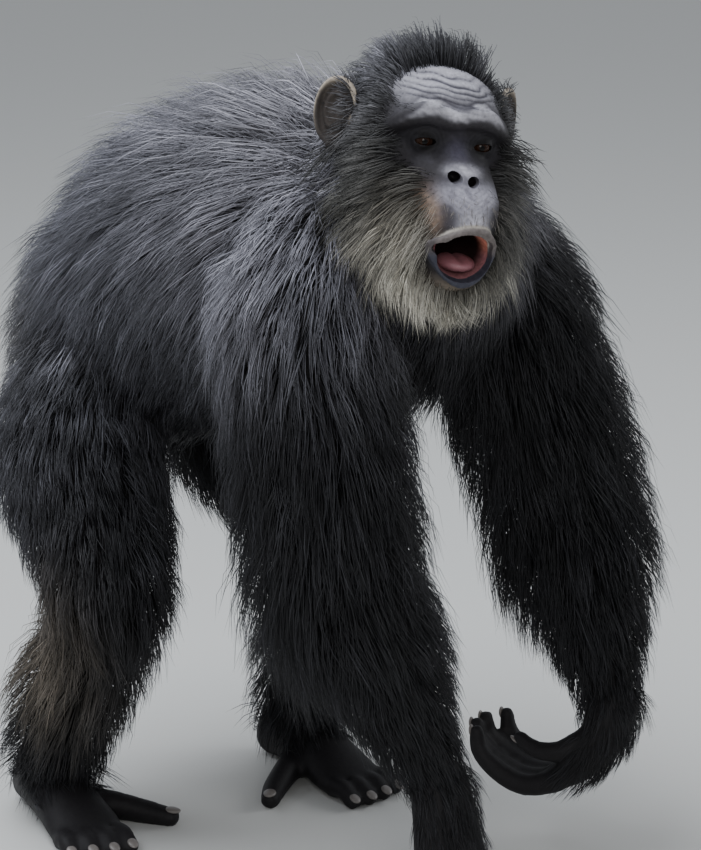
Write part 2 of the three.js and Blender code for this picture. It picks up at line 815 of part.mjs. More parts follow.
// The head's coat: the crown stands up and back, the ruff stands off the cheeks, and the beard
// hangs from the jaw.
function headCoat() {
  const draw = draws(14);
  const crown = coatRows(skullForm, 15, {
    along: [0.1, 0.64],
    rows: 3,
    turns: [4, 176],
    across: 4,
    lie: (turn) => 180 + 30 * cos(turn),
    length: 62,
    width: 58,
    tip: 1.45,
  });
  const ruff = [-1, 1].flatMap((side) =>
    Array.from({ length: 4 }, (_, i) =>
      freeLock({
        root: inHead(4 - 6 * i, side * (66 - 6 * i), -22 - 22 * i),
        direction: towards(-0.5, side * (0.85 - 0.12 * i), -0.1 - 0.17 * i)
          .transformDirection(headRotation),
        out: towards(0.8, side * 0.4, 0.3).transformDirection(headRotation),
        length: 74 + 8 * draw(),
        width: 52,
        droop: 22,
      }),
    ),
  );
  const beard = [-1, 1].flatMap((side) =>
    Array.from({ length: 3 }, (_, i) =>
      freeLock({
        root: inHead(88 - 30 * i, side * (11 + 13 * i), -124 + 6 * i),
        direction: towards(0.1, side * 0.2, -1).transformDirection(headRotation),
        out: towards(0.9, side * 0.5, 0).transformDirection(headRotation),
        length: 44 + 6 * draw(),
        width: 34,
        droop: 6,
      }),
    ),
  );
  return [...crown, ...ruff, ...beard];
}

// Parts, in the order in which they are cut: each keeps clear of the ones before it

const COLOURS = { coat: 0x1d1e22, skin: 0x2a2728, face: 0x5f5b5e, mouth: 0x8d5550, eye: 0x3a2416 };
const joinedForms = (forms) => (grow) => joined(forms.map((form) => form.solid({ grow })));
const stretch = (form, from, to) => (grow) => form.solid({ share: CORE_SHARE, grow, from, to });

const parts = [
  { name: "eye_right", material: "eye", core: () => eye(-1) },
  { name: "eye_left", material: "eye", core: () => eye(1) },
  { name: "head", material: "face", core: headFlesh, hollows: headHollows, locks: headCoat },
  { name: "tongue", material: "mouth", core: tongue },
  { name: "ear_right", material: "face", core: (grow) => ear(-1, grow) },
  { name: "ear_left", material: "face", core: (grow) => ear(1, grow) },
  { name: "neck", material: "coat", core: stretch(neckForm), locks: neckCoat },
  {
    name: "chest",
    material: "coat",
    core: stretch(trunkForm, WAIST, 1),
    locks: chestCoat,
  },
  {
    name: "hindquarters",
    material: "coat",
    core: stretch(trunkForm, 0, WAIST),
    locks: hindquartersCoat,
  },
  ...["right", "left"].flatMap((side, i) => {
    const { arm, thigh, shin } = limbs[side];
    return [
      {
        name: `upper_arm_${side}`,
        material: "coat",
        core: stretch(arm, 0, ELBOW),
        locks: () => limbCoat(arm, 20 + i, [0, ELBOW], 4, 4, 116, 92),
      },
      {
        name: `forearm_${side}`,
        material: "coat",
        core: stretch(arm, ELBOW, 1),
        locks: () => limbCoat(arm, 30 + i, [ELBOW + 0.02, 0.98], 3, 4, 78, 68),
      },
      { name: `hand_${side}`, material: "skin", core: joinedForms(handSets[side]) },
      {
        name: `thigh_${side}`,
        material: "coat",
        core: stretch(thigh),
        locks: () => thighCoat(thigh, 40 + i),
      },
      {
        name: `shin_${side}`,
        material: "coat",
        core: stretch(shin),
        locks: () => limbCoat(shin, 50 + i, [0.1, 0.92], 3, 4, 72, 60),
      },
      { name: `foot_${side}`, material: "skin", core: joinedForms(footSets[side]) },
    ];
  }),
];

function near(a, b) {
  const [p, q] = [a.boundingBox(), b.boundingBox()];
  return [0, 1, 2].every((i) => p.min[i] < q.max[i] && q.min[i] < p.max[i]);
}

const clearOf = (made, others) =>
  others.filter((other) => near(made, other)).reduce((left, other) => left.subtract(other), made);

// The cores
parts.forEach((part, i) => {
  part.made = clearOf(part.core(0), parts.slice(0, i).map((earlier) => earlier.shell));
  part.shell = part.core(GAP);
  if (part.hollows) {
    part.made = part.made.subtract(part.hollows(0));
    part.shell = part.shell.subtract(part.hollows(-GAP));
  }
});

// The locks, each part's clear of the other parts and of the locks of the parts before it
const lockShells = [];
for (const part of parts.filter((each) => each.locks)) {
  const locks = part.locks();
  const others = parts.filter((other) => other !== part).map((other) => other.shell);
  const grown = clearOf(joined(locks.map((lock) => lockSolid(lock, 0))), [...others, ...lockShells]);
  part.made = part.made.add(grown);
  lockShells.push(joined(locks.map((lock) => lockSolid(lock, GAP))));
}

// Nothing reaches below the floor, so the feet and knuckles rest on small flats.
const groundBox = new THREE.BoxGeometry(4000, 4000, 400);
groundBox.translate(0, 0, -200);
const ground = solid(groundBox);

const chimpanzee = new THREE.Group();
for (const { name, material, made } of parts) {
  const geometry = withoutShortEdges(largest(made.subtract(ground)).getMesh());
  geometry.computeVertexNormals();
  const finish = new THREE.MeshStandardMaterial({ color: COLOURS[material], roughness: 0.8, metalness: 0 });
  const piece = new THREE.Mesh(geometry, finish);
  piece.name = name;
  chimpanzee.add(piece);
}

export default chimpanzee;
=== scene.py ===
# A life-size chimpanzee in mid-stride, as a museum shows it: the skin with its modelled face,
# hands and feet, the glass eyes, the nails, and the shaggy coat set into the skin lock by lock.
# Metres, +Z up. The animal faces -Y and its left is +X.

from math import cos, hypot, pi, radians, sin

import bpy
import numpy as np
from mathutils import Euler, Matrix, Vector
from mathutils.kdtree import KDTree


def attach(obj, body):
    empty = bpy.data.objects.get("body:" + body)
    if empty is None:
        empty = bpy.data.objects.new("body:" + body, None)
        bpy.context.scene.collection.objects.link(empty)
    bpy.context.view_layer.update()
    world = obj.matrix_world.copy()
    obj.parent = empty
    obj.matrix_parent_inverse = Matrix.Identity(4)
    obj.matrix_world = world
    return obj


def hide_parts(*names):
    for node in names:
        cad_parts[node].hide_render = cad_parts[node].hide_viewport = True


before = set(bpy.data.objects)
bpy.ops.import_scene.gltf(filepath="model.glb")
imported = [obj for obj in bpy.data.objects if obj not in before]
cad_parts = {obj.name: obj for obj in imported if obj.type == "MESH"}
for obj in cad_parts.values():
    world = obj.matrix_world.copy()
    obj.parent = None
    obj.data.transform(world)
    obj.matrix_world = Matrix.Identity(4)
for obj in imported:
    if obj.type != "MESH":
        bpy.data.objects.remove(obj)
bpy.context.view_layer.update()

# Camera: it stands to the right of the animal's face and a little above it, as the photographer
# did, and its long lens takes in the animal from its crown to the wrist that it walks on.
VIEW_AZIMUTH, VIEW_ELEVATION = radians(-44), radians(15)
VIEW_DISTANCE = 3.9
VIEW_TARGET = Vector((0.023, -0.069, 0.492))
FOCAL_PIXELS, PHOTO_HEIGHT = 3480, 850  # the focal length in the photo's own pixels
away = Vector((
    sin(VIEW_AZIMUTH) * cos(VIEW_ELEVATION),
    -cos(VIEW_AZIMUTH) * cos(VIEW_ELEVATION),
    sin(VIEW_ELEVATION),
))
bpy.ops.object.camera_add(location=VIEW_TARGET + VIEW_DISTANCE * away)
camera = bpy.context.object
camera.name = "camera"
camera.rotation_euler = away.to_track_quat("Z", "Y").to_euler()
camera.data.sensor_width = 36
camera.data.lens = camera.data.sensor_width * FOCAL_PIXELS / PHOTO_HEIGHT
bpy.context.scene.camera = camera

# Floor and light: a pale, dull studio floor, a wide soft light from above and behind, which
# brings out the grey of the back, and weaker ones that fill the face from the front.
bpy.ops.mesh.primitive_plane_add(size=60)
floor = bpy.context.object
floor.name = "floor"


def finish_of(name, colour, roughness):
    """A new material and its shader, nodes and links."""
    material = bpy.data.materials.new(name)
    material.use_nodes = True
    nodes, links = material.node_tree.nodes, material.node_tree.links
    shader = nodes["Principled BSDF"]
    shader.inputs["Base Color"].default_value = (*colour, 1)
    shader.inputs["Roughness"].default_value = roughness
    return material, shader, nodes, links


floor_finish, *_ = finish_of("floor_paint", (0.62, 0.62, 0.60), 0.9)
floor.data.materials.append(floor_finish)

world = bpy.data.worlds.new("studio")
bpy.context.scene.world = world
world.use_nodes = True
world.node_tree.nodes["Background"].inputs["Color"].default_value = (0.80, 0.84, 0.90, 1)
world.node_tree.nodes["Background"].inputs["Strength"].default_value = 0.55
for name, place, size, power, tint in (
    ("sky_light", (-0.9, 0.7, 3.2), 2.6, 120, (0.90, 0.94, 1.0)),
    ("face_light", (-2.6, -3.2, 2.0), 1.6, 46, (1.0, 0.98, 0.95)),
    ("side_light", (3.0, -1.6, 1.8), 1.8, 30, (0.96, 0.98, 1.0)),
):
    bpy.ops.object.light_add(type="AREA", location=place)
    light = bpy.context.object
    light.name = name
    light.rotation_euler = (Vector(place) - VIEW_TARGET).to_track_quat("Z", "Y").to_euler()
    light.data.size = size
    light.data.energy = power
    light.data.color = tint

# Trunk: flesh over ribs and belly, modelled in clay as a rounded length along the spine. Each
# station is a place, how wide and how deep the flesh is there, how long the coat is, and how
# much longer it is on the front side of the line, or on the back one where that is negative.
MIDDLE_OF_OUTLINE = (0.016, 0.017)  # where the origin is in the measures below: forward, left


def at(forward, left, up):
    """A point so far forward, to the animal's left, and up."""
    return Vector((left - MIDDLE_OF_OUTLINE[1], MIDDLE_OF_OUTLINE[0] - forward, up))


def through(values, t, by_distance):
    """Places on the smooth curve through the values, at shares t of its length."""
    values = np.asarray(values, float)
    reach = np.clip(t, 0, 1) * (len(values) - 1)
    i = np.minimum(reach.astype(int), len(values) - 2)
    w = (reach - i)[:, None]
    padded = np.vstack([2 * values[0] - values[1], values, 2 * values[-1] - values[-2]])
    a, b, c, d = (padded[i + k] for k in range(4))
    if by_distance:
        da, db, dc = (np.linalg.norm(q - p, axis=1)[:, None] ** 0.5 for p, q in ((a, b), (b, c), (c, d)))
        into = ((b - a) / da - (c - a) / (da + db) + (c - b) / db) * db
        out = ((c - b) / db - (d - b) / (db + dc) + (d - c) / dc) * db
    else:
        into, out = (c - a) / 2, (d - b) / 2
    return b + into * w + (3 * (c - b) - 2 * into - out) * w**2 + (2 * (b - c) + into + out) * w**3


def unit(vectors):
    return vectors / np.maximum(np.linalg.norm(vectors, axis=-1, keepdims=True), 1e-9)


class Length:
    """A rounded length of body along a smooth line, wide across it and deep at right angles."""

    STEPS = 80

    def __init__(self, stations, across=(1, 0, 0)):
        self.places = [tuple(station[0]) for station in stations]
        self.sizes = [(*station[1:], *(0, 0))[:4] for station in stations]
        self.across = np.array(across, float)
        t = np.linspace(0, 1, self.STEPS)
        self.table = dict(zip(("centre", "along", "side", "front", "sizes"), self.frames(t)))
        self.table["t"] = t
        self.length = np.linalg.norm(np.diff(self.table["centre"], axis=0), axis=1).sum()

    def frames(self, t):
        t = np.asarray(t, float)
        centre = through(self.places, t, True)
        along = unit(through(self.places, t + 0.005, True) - through(self.places, t - 0.005, True))
        side = unit(self.across - along * (along @ self.across)[:, None])
        return centre, along, side, np.cross(along, side), through(self.sizes, t, False)

    def surface(self, t, turn):
        """Points of the skin. Beyond the ends of the line it closes in round ends."""
        inside = np.clip(t, 0, 1)
        centre, along, side, front, sizes = self.frames(inside)
        past = np.clip((t - inside) / self.cap(), -1, 1) * pi / 2
        reach = 0.8 * sizes[:, :2].min(axis=1)
        centre = centre + along * (reach * np.sin(past))[:, None]
        wide, deep = sizes[:, 0] * np.cos(past), sizes[:, 1] * np.cos(past)
        return centre + side * (wide * np.cos(turn))[:, None] + front * (deep * np.sin(turn))[:, None]

    def cap(self):
        """How much t passes over a round end."""
        return 0.1

    def locate(self, points):
        """For each point the nearest t, its turn about the line, and how far out it is: 1 is on
        the skin."""
        found = np.empty(len(points), int)
        for start in range(0, len(points), 20000):
            chunk = points[start : start + 20000]
            away = ((chunk[:, None] - self.table["centre"]) ** 2).sum(-1)
            found[start : start + 20000] = away.argmin(1)
        off = points - self.table["centre"][found]
        x = (off * self.table["side"][found]).sum(1)
        y = (off * self.table["front"][found]).sum(1)
        z = (off * self.table["along"][found]).sum(1)
        wide, deep = self.table["sizes"][found, 0], self.table["sizes"][found, 1]
        far = np.sqrt((x / wide) ** 2 + (y / deep) ** 2 + (z / np.minimum(wide, deep)) ** 2)
        return self.table["t"][found], np.arctan2(y, x), far, found


def clay(name, length, around=20, along=16):
    """The clay of a length of body: a grid, rolled round the line and closed at its ends."""
    caps = 4
    bpy.ops.object.select_all(action="DESELECT")
    rows = along + 2 * caps
    bpy.ops.mesh.primitive_grid_add(x_subdivisions=around, y_subdivisions=rows, size=1)
    piece = bpy.context.object
    piece.name = name
    flat = np.empty(len(piece.data.vertices) * 3)
    piece.data.vertices.foreach_get("co", flat)
    flat = flat.reshape(-1, 3) + 0.5
    row = flat[:, 1] * rows
    t = np.clip((row - caps) / along, 0, 1)
    t = t - length.cap() * np.clip(caps - row, 0, caps) / caps
    t = t + length.cap() * np.clip(row - caps - along, 0, caps) / caps
    rolled = length.surface(t, -2 * pi * flat[:, 0])
    piece.data.vertices.foreach_set("co", rolled.ravel())
    bpy.ops.object.mode_set(mode="EDIT")
    bpy.ops.mesh.select_all(action="SELECT")
    bpy.ops.mesh.remove_doubles(threshold=1e-5)
    bpy.ops.mesh.normals_make_consistent(inside=False)
    bpy.ops.object.mode_set(mode="OBJECT")
    return piece


TRUNK = (  # forward and up, then the sizes
    (-0.338, 0.492, 0.036, 0.038, 0.028),
    (-0.300, 0.526, 0.080, 0.078, 0.032, 0.006),
    (-0.215, 0.576, 0.110, 0.112, 0.034, 0.014),
    (-0.120, 0.630, 0.120, 0.130, 0.036, 0.028),
    (-0.040, 0.660, 0.130, 0.138, 0.038, 0.036),
    (0.040, 0.682, 0.138, 0.136, 0.042, 0.038),
    (0.130, 0.702, 0.138, 0.128, 0.049, 0.034),
    (0.205, 0.722, 0.120, 0.112, 0.047, 0.026),
    (0.252, 0.740, 0.086, 0.084, 0.032, 0.016),
)
trunk = Length([(at(forward, 0, up), *sizes) for forward, up, *sizes in TRUNK])
neck = Length([
    (at(0.214, -0.008, 0.782), 0.078, 0.076, 0.036, 0.006),
    (at(0.250, -0.030, 0.830), 0.068, 0.068, 0.030),
    (at(0.276, -0.050, 0.864), 0.058, 0.056, 0.022),
])
body_clay = [clay("trunk_clay", trunk, 32, 28), clay("neck_clay", neck)]

# Limbs: upper arm and forearm are one length of flesh, thigh and shin are two that meet in the
# bent knee. Each row says how far along its joints it is, then the sizes.
JOINTS = {
    "right": {
        "arm_root": (0.190, -0.108, 0.748),
        "shoulder": (0.206, -0.150, 0.684),
        "elbow": (0.258, -0.150, 0.410),
        "wrist": (0.338, -0.084, 0.186),
        "leg_root": (-0.215, -0.084, 0.520),
        "hip": (-0.185, -0.126, 0.450),
        "knee": (-0.068, -0.188, 0.312),
        "ankle": (-0.204, -0.163, 0.084),
    },
    "left": {
        "arm_root": (0.190, 0.100, 0.742),
        "shoulder": (0.200, 0.142, 0.676),
        "elbow": (0.250, 0.216, 0.408),
        "wrist": (0.334, 0.204, 0.200),
        "leg_root": (-0.208, 0.084, 0.520),
        "hip": (-0.172, 0.112, 0.450),
        "knee": (-0.046, 0.152, 0.312),
        "ankle": (-0.124, 0.160, 0.084),
    },
}
ARM = (
    (0, 0.046, 0.054, 0.024),
    (1, 0.058, 0.068, 0.040),
    (1.34, 0.058, 0.066, 0.046),
    (1.7, 0.054, 0.060, 0.050),
    (2, 0.050, 0.054, 0.047, -0.018),
    (2.3, 0.050, 0.052, 0.034),
    (2.68, 0.040, 0.042, 0.019),
    (3, 0.031, 0.029, 0.011),
)
THIGH = (
    (0, 0.066, 0.086, 0.026),
    (1, 0.070, 0.090, 0.031),
    (1.5, 0.058, 0.070, 0.031),
    (2, 0.046, 0.054, 0.030),
)
SHIN = (
    (0, 0.038, 0.046, 0.028),
    (0.3, 0.038, 0.044, 0.036, -0.012),
    (0.66, 0.032, 0.036, 0.036, -0.008),
    (1, 0.025, 0.030, 0.032),
)


def limb(side, joints, rows):
    places = [at(*JOINTS[side][joint]) for joint in joints]
    stations = []
    for far, *sizes in rows:
        i = min(int(far), len(places) - 2)
        stations.append((places[i].lerp(places[i + 1], far - i), *sizes))
    return Length(stations)


limbs = {}
for side in ("right", "left"):
    limbs[side] = {
        "arm": limb(side, ("arm_root", "shoulder", "elbow", "wrist"), ARM),
        "thigh": limb(side, ("leg_root", "hip", "knee"), THIGH),
        "shin": limb(side, ("knee", "ankle"), SHIN),
    }
    body_clay += [clay(f"{part}_clay", length) for part, length in limbs[side].items()]

# Feet: heel and sole in one length, four toes, and the great toe standing off to the inside.
# Both soles are planted on the floor.


class Placer:
    """Places in a foot or hand, so far forward, towards the midline, and up of its root."""

    def __init__(self, root, heading, side):
        turned = radians(heading)
        self.root = root
        self.ahead = Vector((side * sin(turned), -cos(turned), 0))
        self.inwards = Vector((-side * cos(turned), -sin(turned), 0))

    def __call__(self, forward, inward, up):
        return self.root + self.ahead * forward + self.inwards * inward + Vector((0, 0, up))


def foot_lengths(root, heading, side):
    place = Placer(root, heading, side)
    sole = [
        (place(-0.052, 0, 0.023), 0.026, 0.026),
        (place(-0.010, 0, 0.040), 0.034, 0.042),
        (place(0.050, 0.002, 0.029), 0.038, 0.031),
        (place(0.100, 0.004, 0.017), 0.044, 0.020),
        (place(0.122, 0.004, 0.012), 0.042, 0.015),
    ]
    toes = [
        [
            (place(0.118, inward, 0.013), 0.012, 0.013),
            (place(0.118 + 0.5 * long, 1.06 * inward, 0.017), 0.011, 0.011),
            (place(0.118 + long, 1.1 * inward, 0.008), 0.010, 0.0095),
        ]
        for inward, long in ((-0.030, 0.034), (-0.009, 0.042), (0.013, 0.046), (0.034, 0.044))
    ]
    great = [
        (place(0.028, 0.022, 0.022), 0.018, 0.020),
        (place(0.056, 0.062, 0.018), 0.016, 0.017),
        (place(0.080, 0.094, 0.012), 0.0145, 0.014),
        (place(0.100, 0.114, 0.0095), 0.012, 0.0115),
    ]
    return [Length(rows, place.inwards) for rows in (sole, *toes, great)]


feet = {
    "right": foot_lengths(at(-0.214, -0.164, 0), 18, -1),
    "left": foot_lengths(at(-0.128, 0.160, 0), -8, 1),
}

# Hands: the right one walks on its knuckles, with the fingertips curled back under the palm. The
# left one is lifted with a bent wrist, and its fingers curl loosely.


def planted_hand_lengths(root, heading, side):
    place = Placer(root, heading, side)
    palm = [
        (place(-0.020, 0.002, 0.168), 0.034, 0.030),
        (place(-0.008, 0, 0.130), 0.040, 0.026),
        (place(0.002, -0.002, 0.092), 0.046, 0.023),
        (place(0.006, -0.002, 0.066), 0.045, 0.018),
    ]
    fingers = []
    for inward, reach in ((-0.036, 0.026), (-0.012, 0.034), (0.012, 0.034), (0.035, 0.028)):
        fingers.append([
            (place(0.004, 0.95 * inward, 0.072), 0.013, 0.014),
            (place(0.75 * reach, inward, 0.042), 0.0125, 0.0125),
            (place(reach, 1.04 * inward, 0.013), 0.0125, 0.0145),
        ])
        fingers.append([
            (place(reach - 0.002, 1.04 * inward, 0.011), 0.0125, 0.0125),
            (place(reach - 0.034, 1.02 * inward, 0.011), 0.0115, 0.0115),
            (place(reach - 0.060, 0.98 * inward, 0.021), 0.0085, 0.0085),
        ])
    thumb = [
        (place(-0.016, 0.026, 0.128), 0.015, 0.015),
        (place(-0.026, 0.044, 0.096), 0.012, 0.012),
        (place(-0.028, 0.048, 0.068), 0.010, 0.010),
        (place(-0.022, 0.046, 0.050), 0.008, 0.008),
    ]
    return [Length(rows, place.inwards) for rows in (palm, *fingers, thumb)]


def lifted_hand_lengths(wrist, back, side):
    place = Placer(wrist, back, side)
    palm = [
        (place(0.008, 0, 0.010), 0.034, 0.030),
        (place(0, 0, -0.028), 0.040, 0.027),
        (place(-0.026, 0, -0.066), 0.046, 0.022),
        (place(-0.048, 0, -0.084), 0.045, 0.018),
    ]
    fingers = [
        [
            (place(-0.044, 0.95 * inward, -0.084), 0.013, 0.014),
            (place(-0.044 - 0.044 * curl, inward, -0.096), 0.0125, 0.0125),
            (place(-0.044 - 0.082 * curl, 1.02 * inward, -0.084), 0.012, 0.012),
            (place(-0.044 - 0.108 * curl, 1.02 * inward, -0.062), 0.0105, 0.0105),
            (place(-0.044 - 0.112 * curl, inward, -0.040), 0.0085, 0.0085),
        ]
        for inward, curl in ((-0.035, 0.86), (-0.012, 1), (0.012, 1), (0.035, 0.9))
    ]
    thumb = [
        (place(-0.010, 0.028, -0.030), 0.015, 0.015),
        (place(-0.042, 0.044, -0.046), 0.012, 0.012),
        (place(-0.072, 0.046, -0.044), 0.010, 0.010),
        (place(-0.088, 0.044, -0.034), 0.008, 0.008),
    ]
    return [Length(rows, place.inwards) for rows in (palm, *fingers, thumb)]


hands = {
    "right": planted_hand_lengths(at(0.362, -0.080, 0), 4, -1),
    "left": lifted_hand_lengths(at(0.332, 0.202, 0.180), 18, 1),
}

# Head: skull, brow, muzzle, jaw and nose, in the head's own measure, forward, left and up of the
# middle of the skull. The head is turned to its right and a little tilted.
HEAD_PLACE = at(0.315, -0.064, 0.876)
head_turn = Euler((radians(3), radians(6), radians(-26)), "ZXY").to_matrix()
head_matrix = Matrix.Translation(HEAD_PLACE) @ head_turn.to_4x4()


def in_head(forward, left, up):
    return head_matrix @ Vector((left, -forward, up))


def facing(forward, left, up):
    return (head_turn @ Vector((left, -forward, up))).normalized()


head_across, head_up = facing(0, 1, 0), facing(0, 0, 1)
skull = Length([
    (in_head(-0.096, 0, -0.014), 0.034, 0.034, 0.018, 0.008),
    (in_head(-0.066, 0, -0.008), 0.062, 0.054, 0.012, 0.020),
    (in_head(-0.022, 0, 0), 0.074, 0.058, 0.008, 0.026),
    (in_head(0.018, 0, 0.003), 0.070, 0.057, 0, 0.008),
    (in_head(0.036, 0, 0.004), 0.060, 0.048),
], head_across)
brow = Length([
    (in_head(0.034, -0.060, -0.002), 0.008, 0.009),
    (in_head(0.060, -0.050, 0.0135), 0.011, 0.0088),
    (in_head(0.073, -0.034, 0.0215), 0.012, 0.0095),
    (in_head(0.073, -0.008, 0.0155), 0.011, 0.0080),
    (in_head(0.075, 0.018, 0.0195), 0.012, 0.0095),
    (in_head(0.066, 0.041, 0.0125), 0.011, 0.0090),
    (in_head(0.038, 0.063, -0.006), 0.008, 0.009),
], head_up)
muzzle = Length([
    (in_head(0.034, 0, -0.046), 0.056, 0.048),
    (in_head(0.060, 0.003, -0.056), 0.047, 0.045),
    (in_head(0.084, 0.008, -0.072), 0.040, 0.040),
    (in_head(0.092, 0.008, -0.094), 0.037, 0.036),
], head_across)
jaw = Length([
    (in_head(-0.004, 0, -0.078), 0.056, 0.046),
    (in_head(0.042, 0.003, -0.112), 0.046, 0.038),
    (in_head(0.078, 0.006, -0.132), 0.036, 0.027),
    (in_head(0.094, 0.007, -0.138), 0.030, 0.019),
], head_across)
nose = Length([
    (in_head(0.060, 0, -0.002), 0.012, 0.009),
    (in_head(0.076, 0, -0.022), 0.016, 0.011),
    (in_head(0.090, 0.001, -0.037), 0.019, 0.011),
], head_across)
funnel = Length([
    (in_head(0.082, 0.006, -0.104), 0.033, 0.027),
    (in_head(0.092, 0.005, -0.110), 0.036, 0.029),
    (in_head(0.101, 0.004, -0.114), 0.037, 0.030),
], head_across)
mouth_hollow = Length([
    (in_head(0.150, 0.006, -0.119), 0.029, 0.025),
    (in_head(0.124, 0.006, -0.116), 0.029, 0.0265),
    (in_head(0.106, 0.005, -0.113), 0.027, 0.023),
    (in_head(0.066, 0.003, -0.098), 0.014, 0.010),
], head_across)
LIP_LINE = (  # the middle of the lips from the right corner of the mouth over the top and round
    (0.115, -0.033, -0.105), (0.123, -0.018, -0.0975), (0.129, 0.006, -0.0890),
    (0.126, 0.026, -0.0915), (0.120, 0.035, -0.104), (0.117, 0.031, -0.122),
    (0.116, 0.022, -0.137), (0.116, 0.008, -0.144), (0.115, -0.008, -0.137), (0.114, -0.022, -0.121),
)


def ball(name, centre, radii, turn=None, segments=24, rings=16):
    """A ball of clay in the head's own measure: radii to the left, forward and up."""
    bpy.ops.object.select_all(action="DESELECT")
    bpy.ops.mesh.primitive_uv_sphere_add(segments=segments, ring_count=rings, radius=1)
    piece = bpy.context.object
    piece.name = name
    turned = head_turn.to_4x4() @ (turn or Matrix.Identity(4))
    size = Matrix.Diagonal((*radii, 1))
    piece.data.transform(Matrix.Translation(centre) @ turned @ size)
    return piece


EYE_RADIUS, LID_THICKNESS = 0.011, 0.0026
eye_places = {"right": in_head(0.058, -0.031, -0.0085), "left": in_head(0.058, 0.031, -0.0115)}
head_clay = [clay("skull_clay", skull, 32, 20), clay("brow_clay", brow), clay("muzzle_clay", muzzle)]
head_clay += [clay("jaw_clay", jaw), clay("nose_clay", nose), clay("funnel_clay", funnel, 32)]
for sign in (-1, 1):
    head_clay.append(ball("cheek", in_head(0.032, sign * 0.043, -0.034), (0.027, 0.028, 0.040)))
    head_clay.append(ball("nose_wing", in_head(0.092, 0.001 + sign * 0.0105, -0.040 - sign * 0.0018), (0.011, 0.010, 0.009)))
head_clay.append(ball("orbits", in_head(0.030, 0, -0.006), (0.058, 0.026, 0.034)))
head_clay.append(ball("upper_lip", in_head(0.092, 0.010, -0.068), (0.037, 0.023, 0.027)))
for place in eye_places.values():
    head_clay.append(ball("lids", place, (EYE_RADIUS + LID_THICKNESS,) * 3))
    head_clay.append(ball("eye_bag", place - head_up * 0.0125 - facing(1, 0, 0) * 0.002, (0.0125, 0.009, 0.0055)))
LIP_ACROSS = facing(1, 0, 0)
lips = [
    (in_head(*place), 0.0036, 0.0046) if i < 5 else (in_head(*place), 0.0040, 0.0052)
    for i, place in enumerate(LIP_LINE)
]
head_clay.append(clay("lips", Length(lips + lips[:2], LIP_ACROSS), 12, 72))

# Ears: large, thin and upright, with a rolled rim from the front of the ear round to its lobe,
# a fold inside that, and a small lug over the hole. They are pressed in finer clay than the head.
EAR_STAND = radians(40)  # how far the ears turn forwards off the sides of the head


def ear_clay(sign):
    turned = head_turn @ Matrix.Rotation(-sign * EAR_STAND, 3, "Z")
    centre = in_head(-0.038, sign * 0.092, 0)

    def in_ear(out, forward, up):
        return centre + turned @ Vector((sign * out, -forward, up))

    def roll(name, points):
        return clay(name, Length([(in_ear(*place), thick, thick) for place, thick in points], turned.col[0]), 10, 20)

    def arc(from_angle, to_angle, wide, tall, out, thick, steps=9):
        angles = [radians(from_angle + (to_angle - from_angle) * i / (steps - 1)) for i in range(steps)]
        return [((out, -wide * cos(a), tall * sin(a)), thick) for a in angles]

    stand = Matrix.Rotation(-sign * EAR_STAND, 4, "Z")
    return [
        ball("ear_plate", in_ear(-0.003, 0, 0), (0.0032, 0.024, 0.034), stand),
        ball("ear_root", in_ear(-0.010, 0.010, -0.006), (0.014, 0.016, 0.022), stand),
        roll("ear_rim", arc(160, -80, 0.0245, 0.0345, 0.001, 0.0036)),
        roll("ear_fold", arc(120, -60, 0.0135, 0.0200, 0.0005, 0.0026)),
        ball("ear_lobe", in_ear(0, -0.002, -0.034), (0.0035, 0.009, 0.008), stand),
        ball("ear_lug", in_ear(0.002, 0.019, -0.006), (0.0035, 0.004, 0.007), stand),
    ]


ears = [ear_clay(sign) for sign in (-1, 1)]

# Skin: one skin covers the whole body, so that no seam shows. The clay of the head, hands and
# feet is joined finely, the rest more coarsely under the coat, and the eye sockets, nostrils and
# mouth are cut into it.


def melted(name, pieces, grain):
    """One closed piece out of several: the clay is pressed together in grains of this size."""
    bpy.ops.object.select_all(action="DESELECT")
    for piece in pieces:
        piece.select_set(True)
    bpy.context.view_layer.objects.active = pieces[0]
    if len(pieces) > 1:
        bpy.ops.object.join()
    piece = pieces[0]
    piece.name = name
    remesh = piece.modifiers.new("press", "REMESH")
    remesh.mode, remesh.voxel_size, remesh.use_smooth_shade = "VOXEL", grain, True
    smooth = piece.modifiers.new("smooth", "SMOOTH")
    smooth.factor, smooth.iterations = 0.5, 4
    for modifier in ("press", "smooth"):
        bpy.ops.object.modifier_apply(modifier=modifier)
    return piece


def carved(piece, cutter, operation="DIFFERENCE", solver="EXACT"):
    cut = piece.modifiers.new("carve", "BOOLEAN")
    cut.operation, cut.object, cut.solver = operation, cutter, solver
    bpy.ops.object.select_all(action="DESELECT")
    bpy.context.view_layer.objects.active = piece
    bpy.ops.object.modifier_apply(modifier="carve")
    bpy.data.objects.remove(cutter)
    return piece


hollows = [clay("mouth_hollow", mouth_hollow)]
hollows.append(ball("mouth_corner", in_head(0.122, -0.016, -0.1075), (0.0145, 0.020, 0.0075)))
hollows.append(ball("mouth_corner", in_head(0.124, 0.022, -0.1040), (0.0120, 0.018, 0.0085)))
for side, sign in (("right", -1), ("left", 1)):
    hollows.append(ball("socket", eye_places[side], (EYE_RADIUS + 0.0003,) * 3))
    slit = eye_places[side] + facing(1, 0, 0) * 0.0100
    hollows.append(ball("slit", slit, (0.0112, 0.012, 0.0040)))
    nostril = in_head(0.103, 0.001 + sign * 0.0088, -0.0400 - sign * 0.0020)
    lean = Matrix.Rotation(radians(-28 * sign), 4, "Y")
    hollows.append(ball("nostril", nostril, (0.0080, 0.014, 0.0062), lean))
head = melted("head_clay", head_clay, 0.0030)
print("head", len(head.data.vertices))
for ear in ears:
    head = carved(head, melted("ear", ear, 0.0018), "UNION", "MANIFOLD")
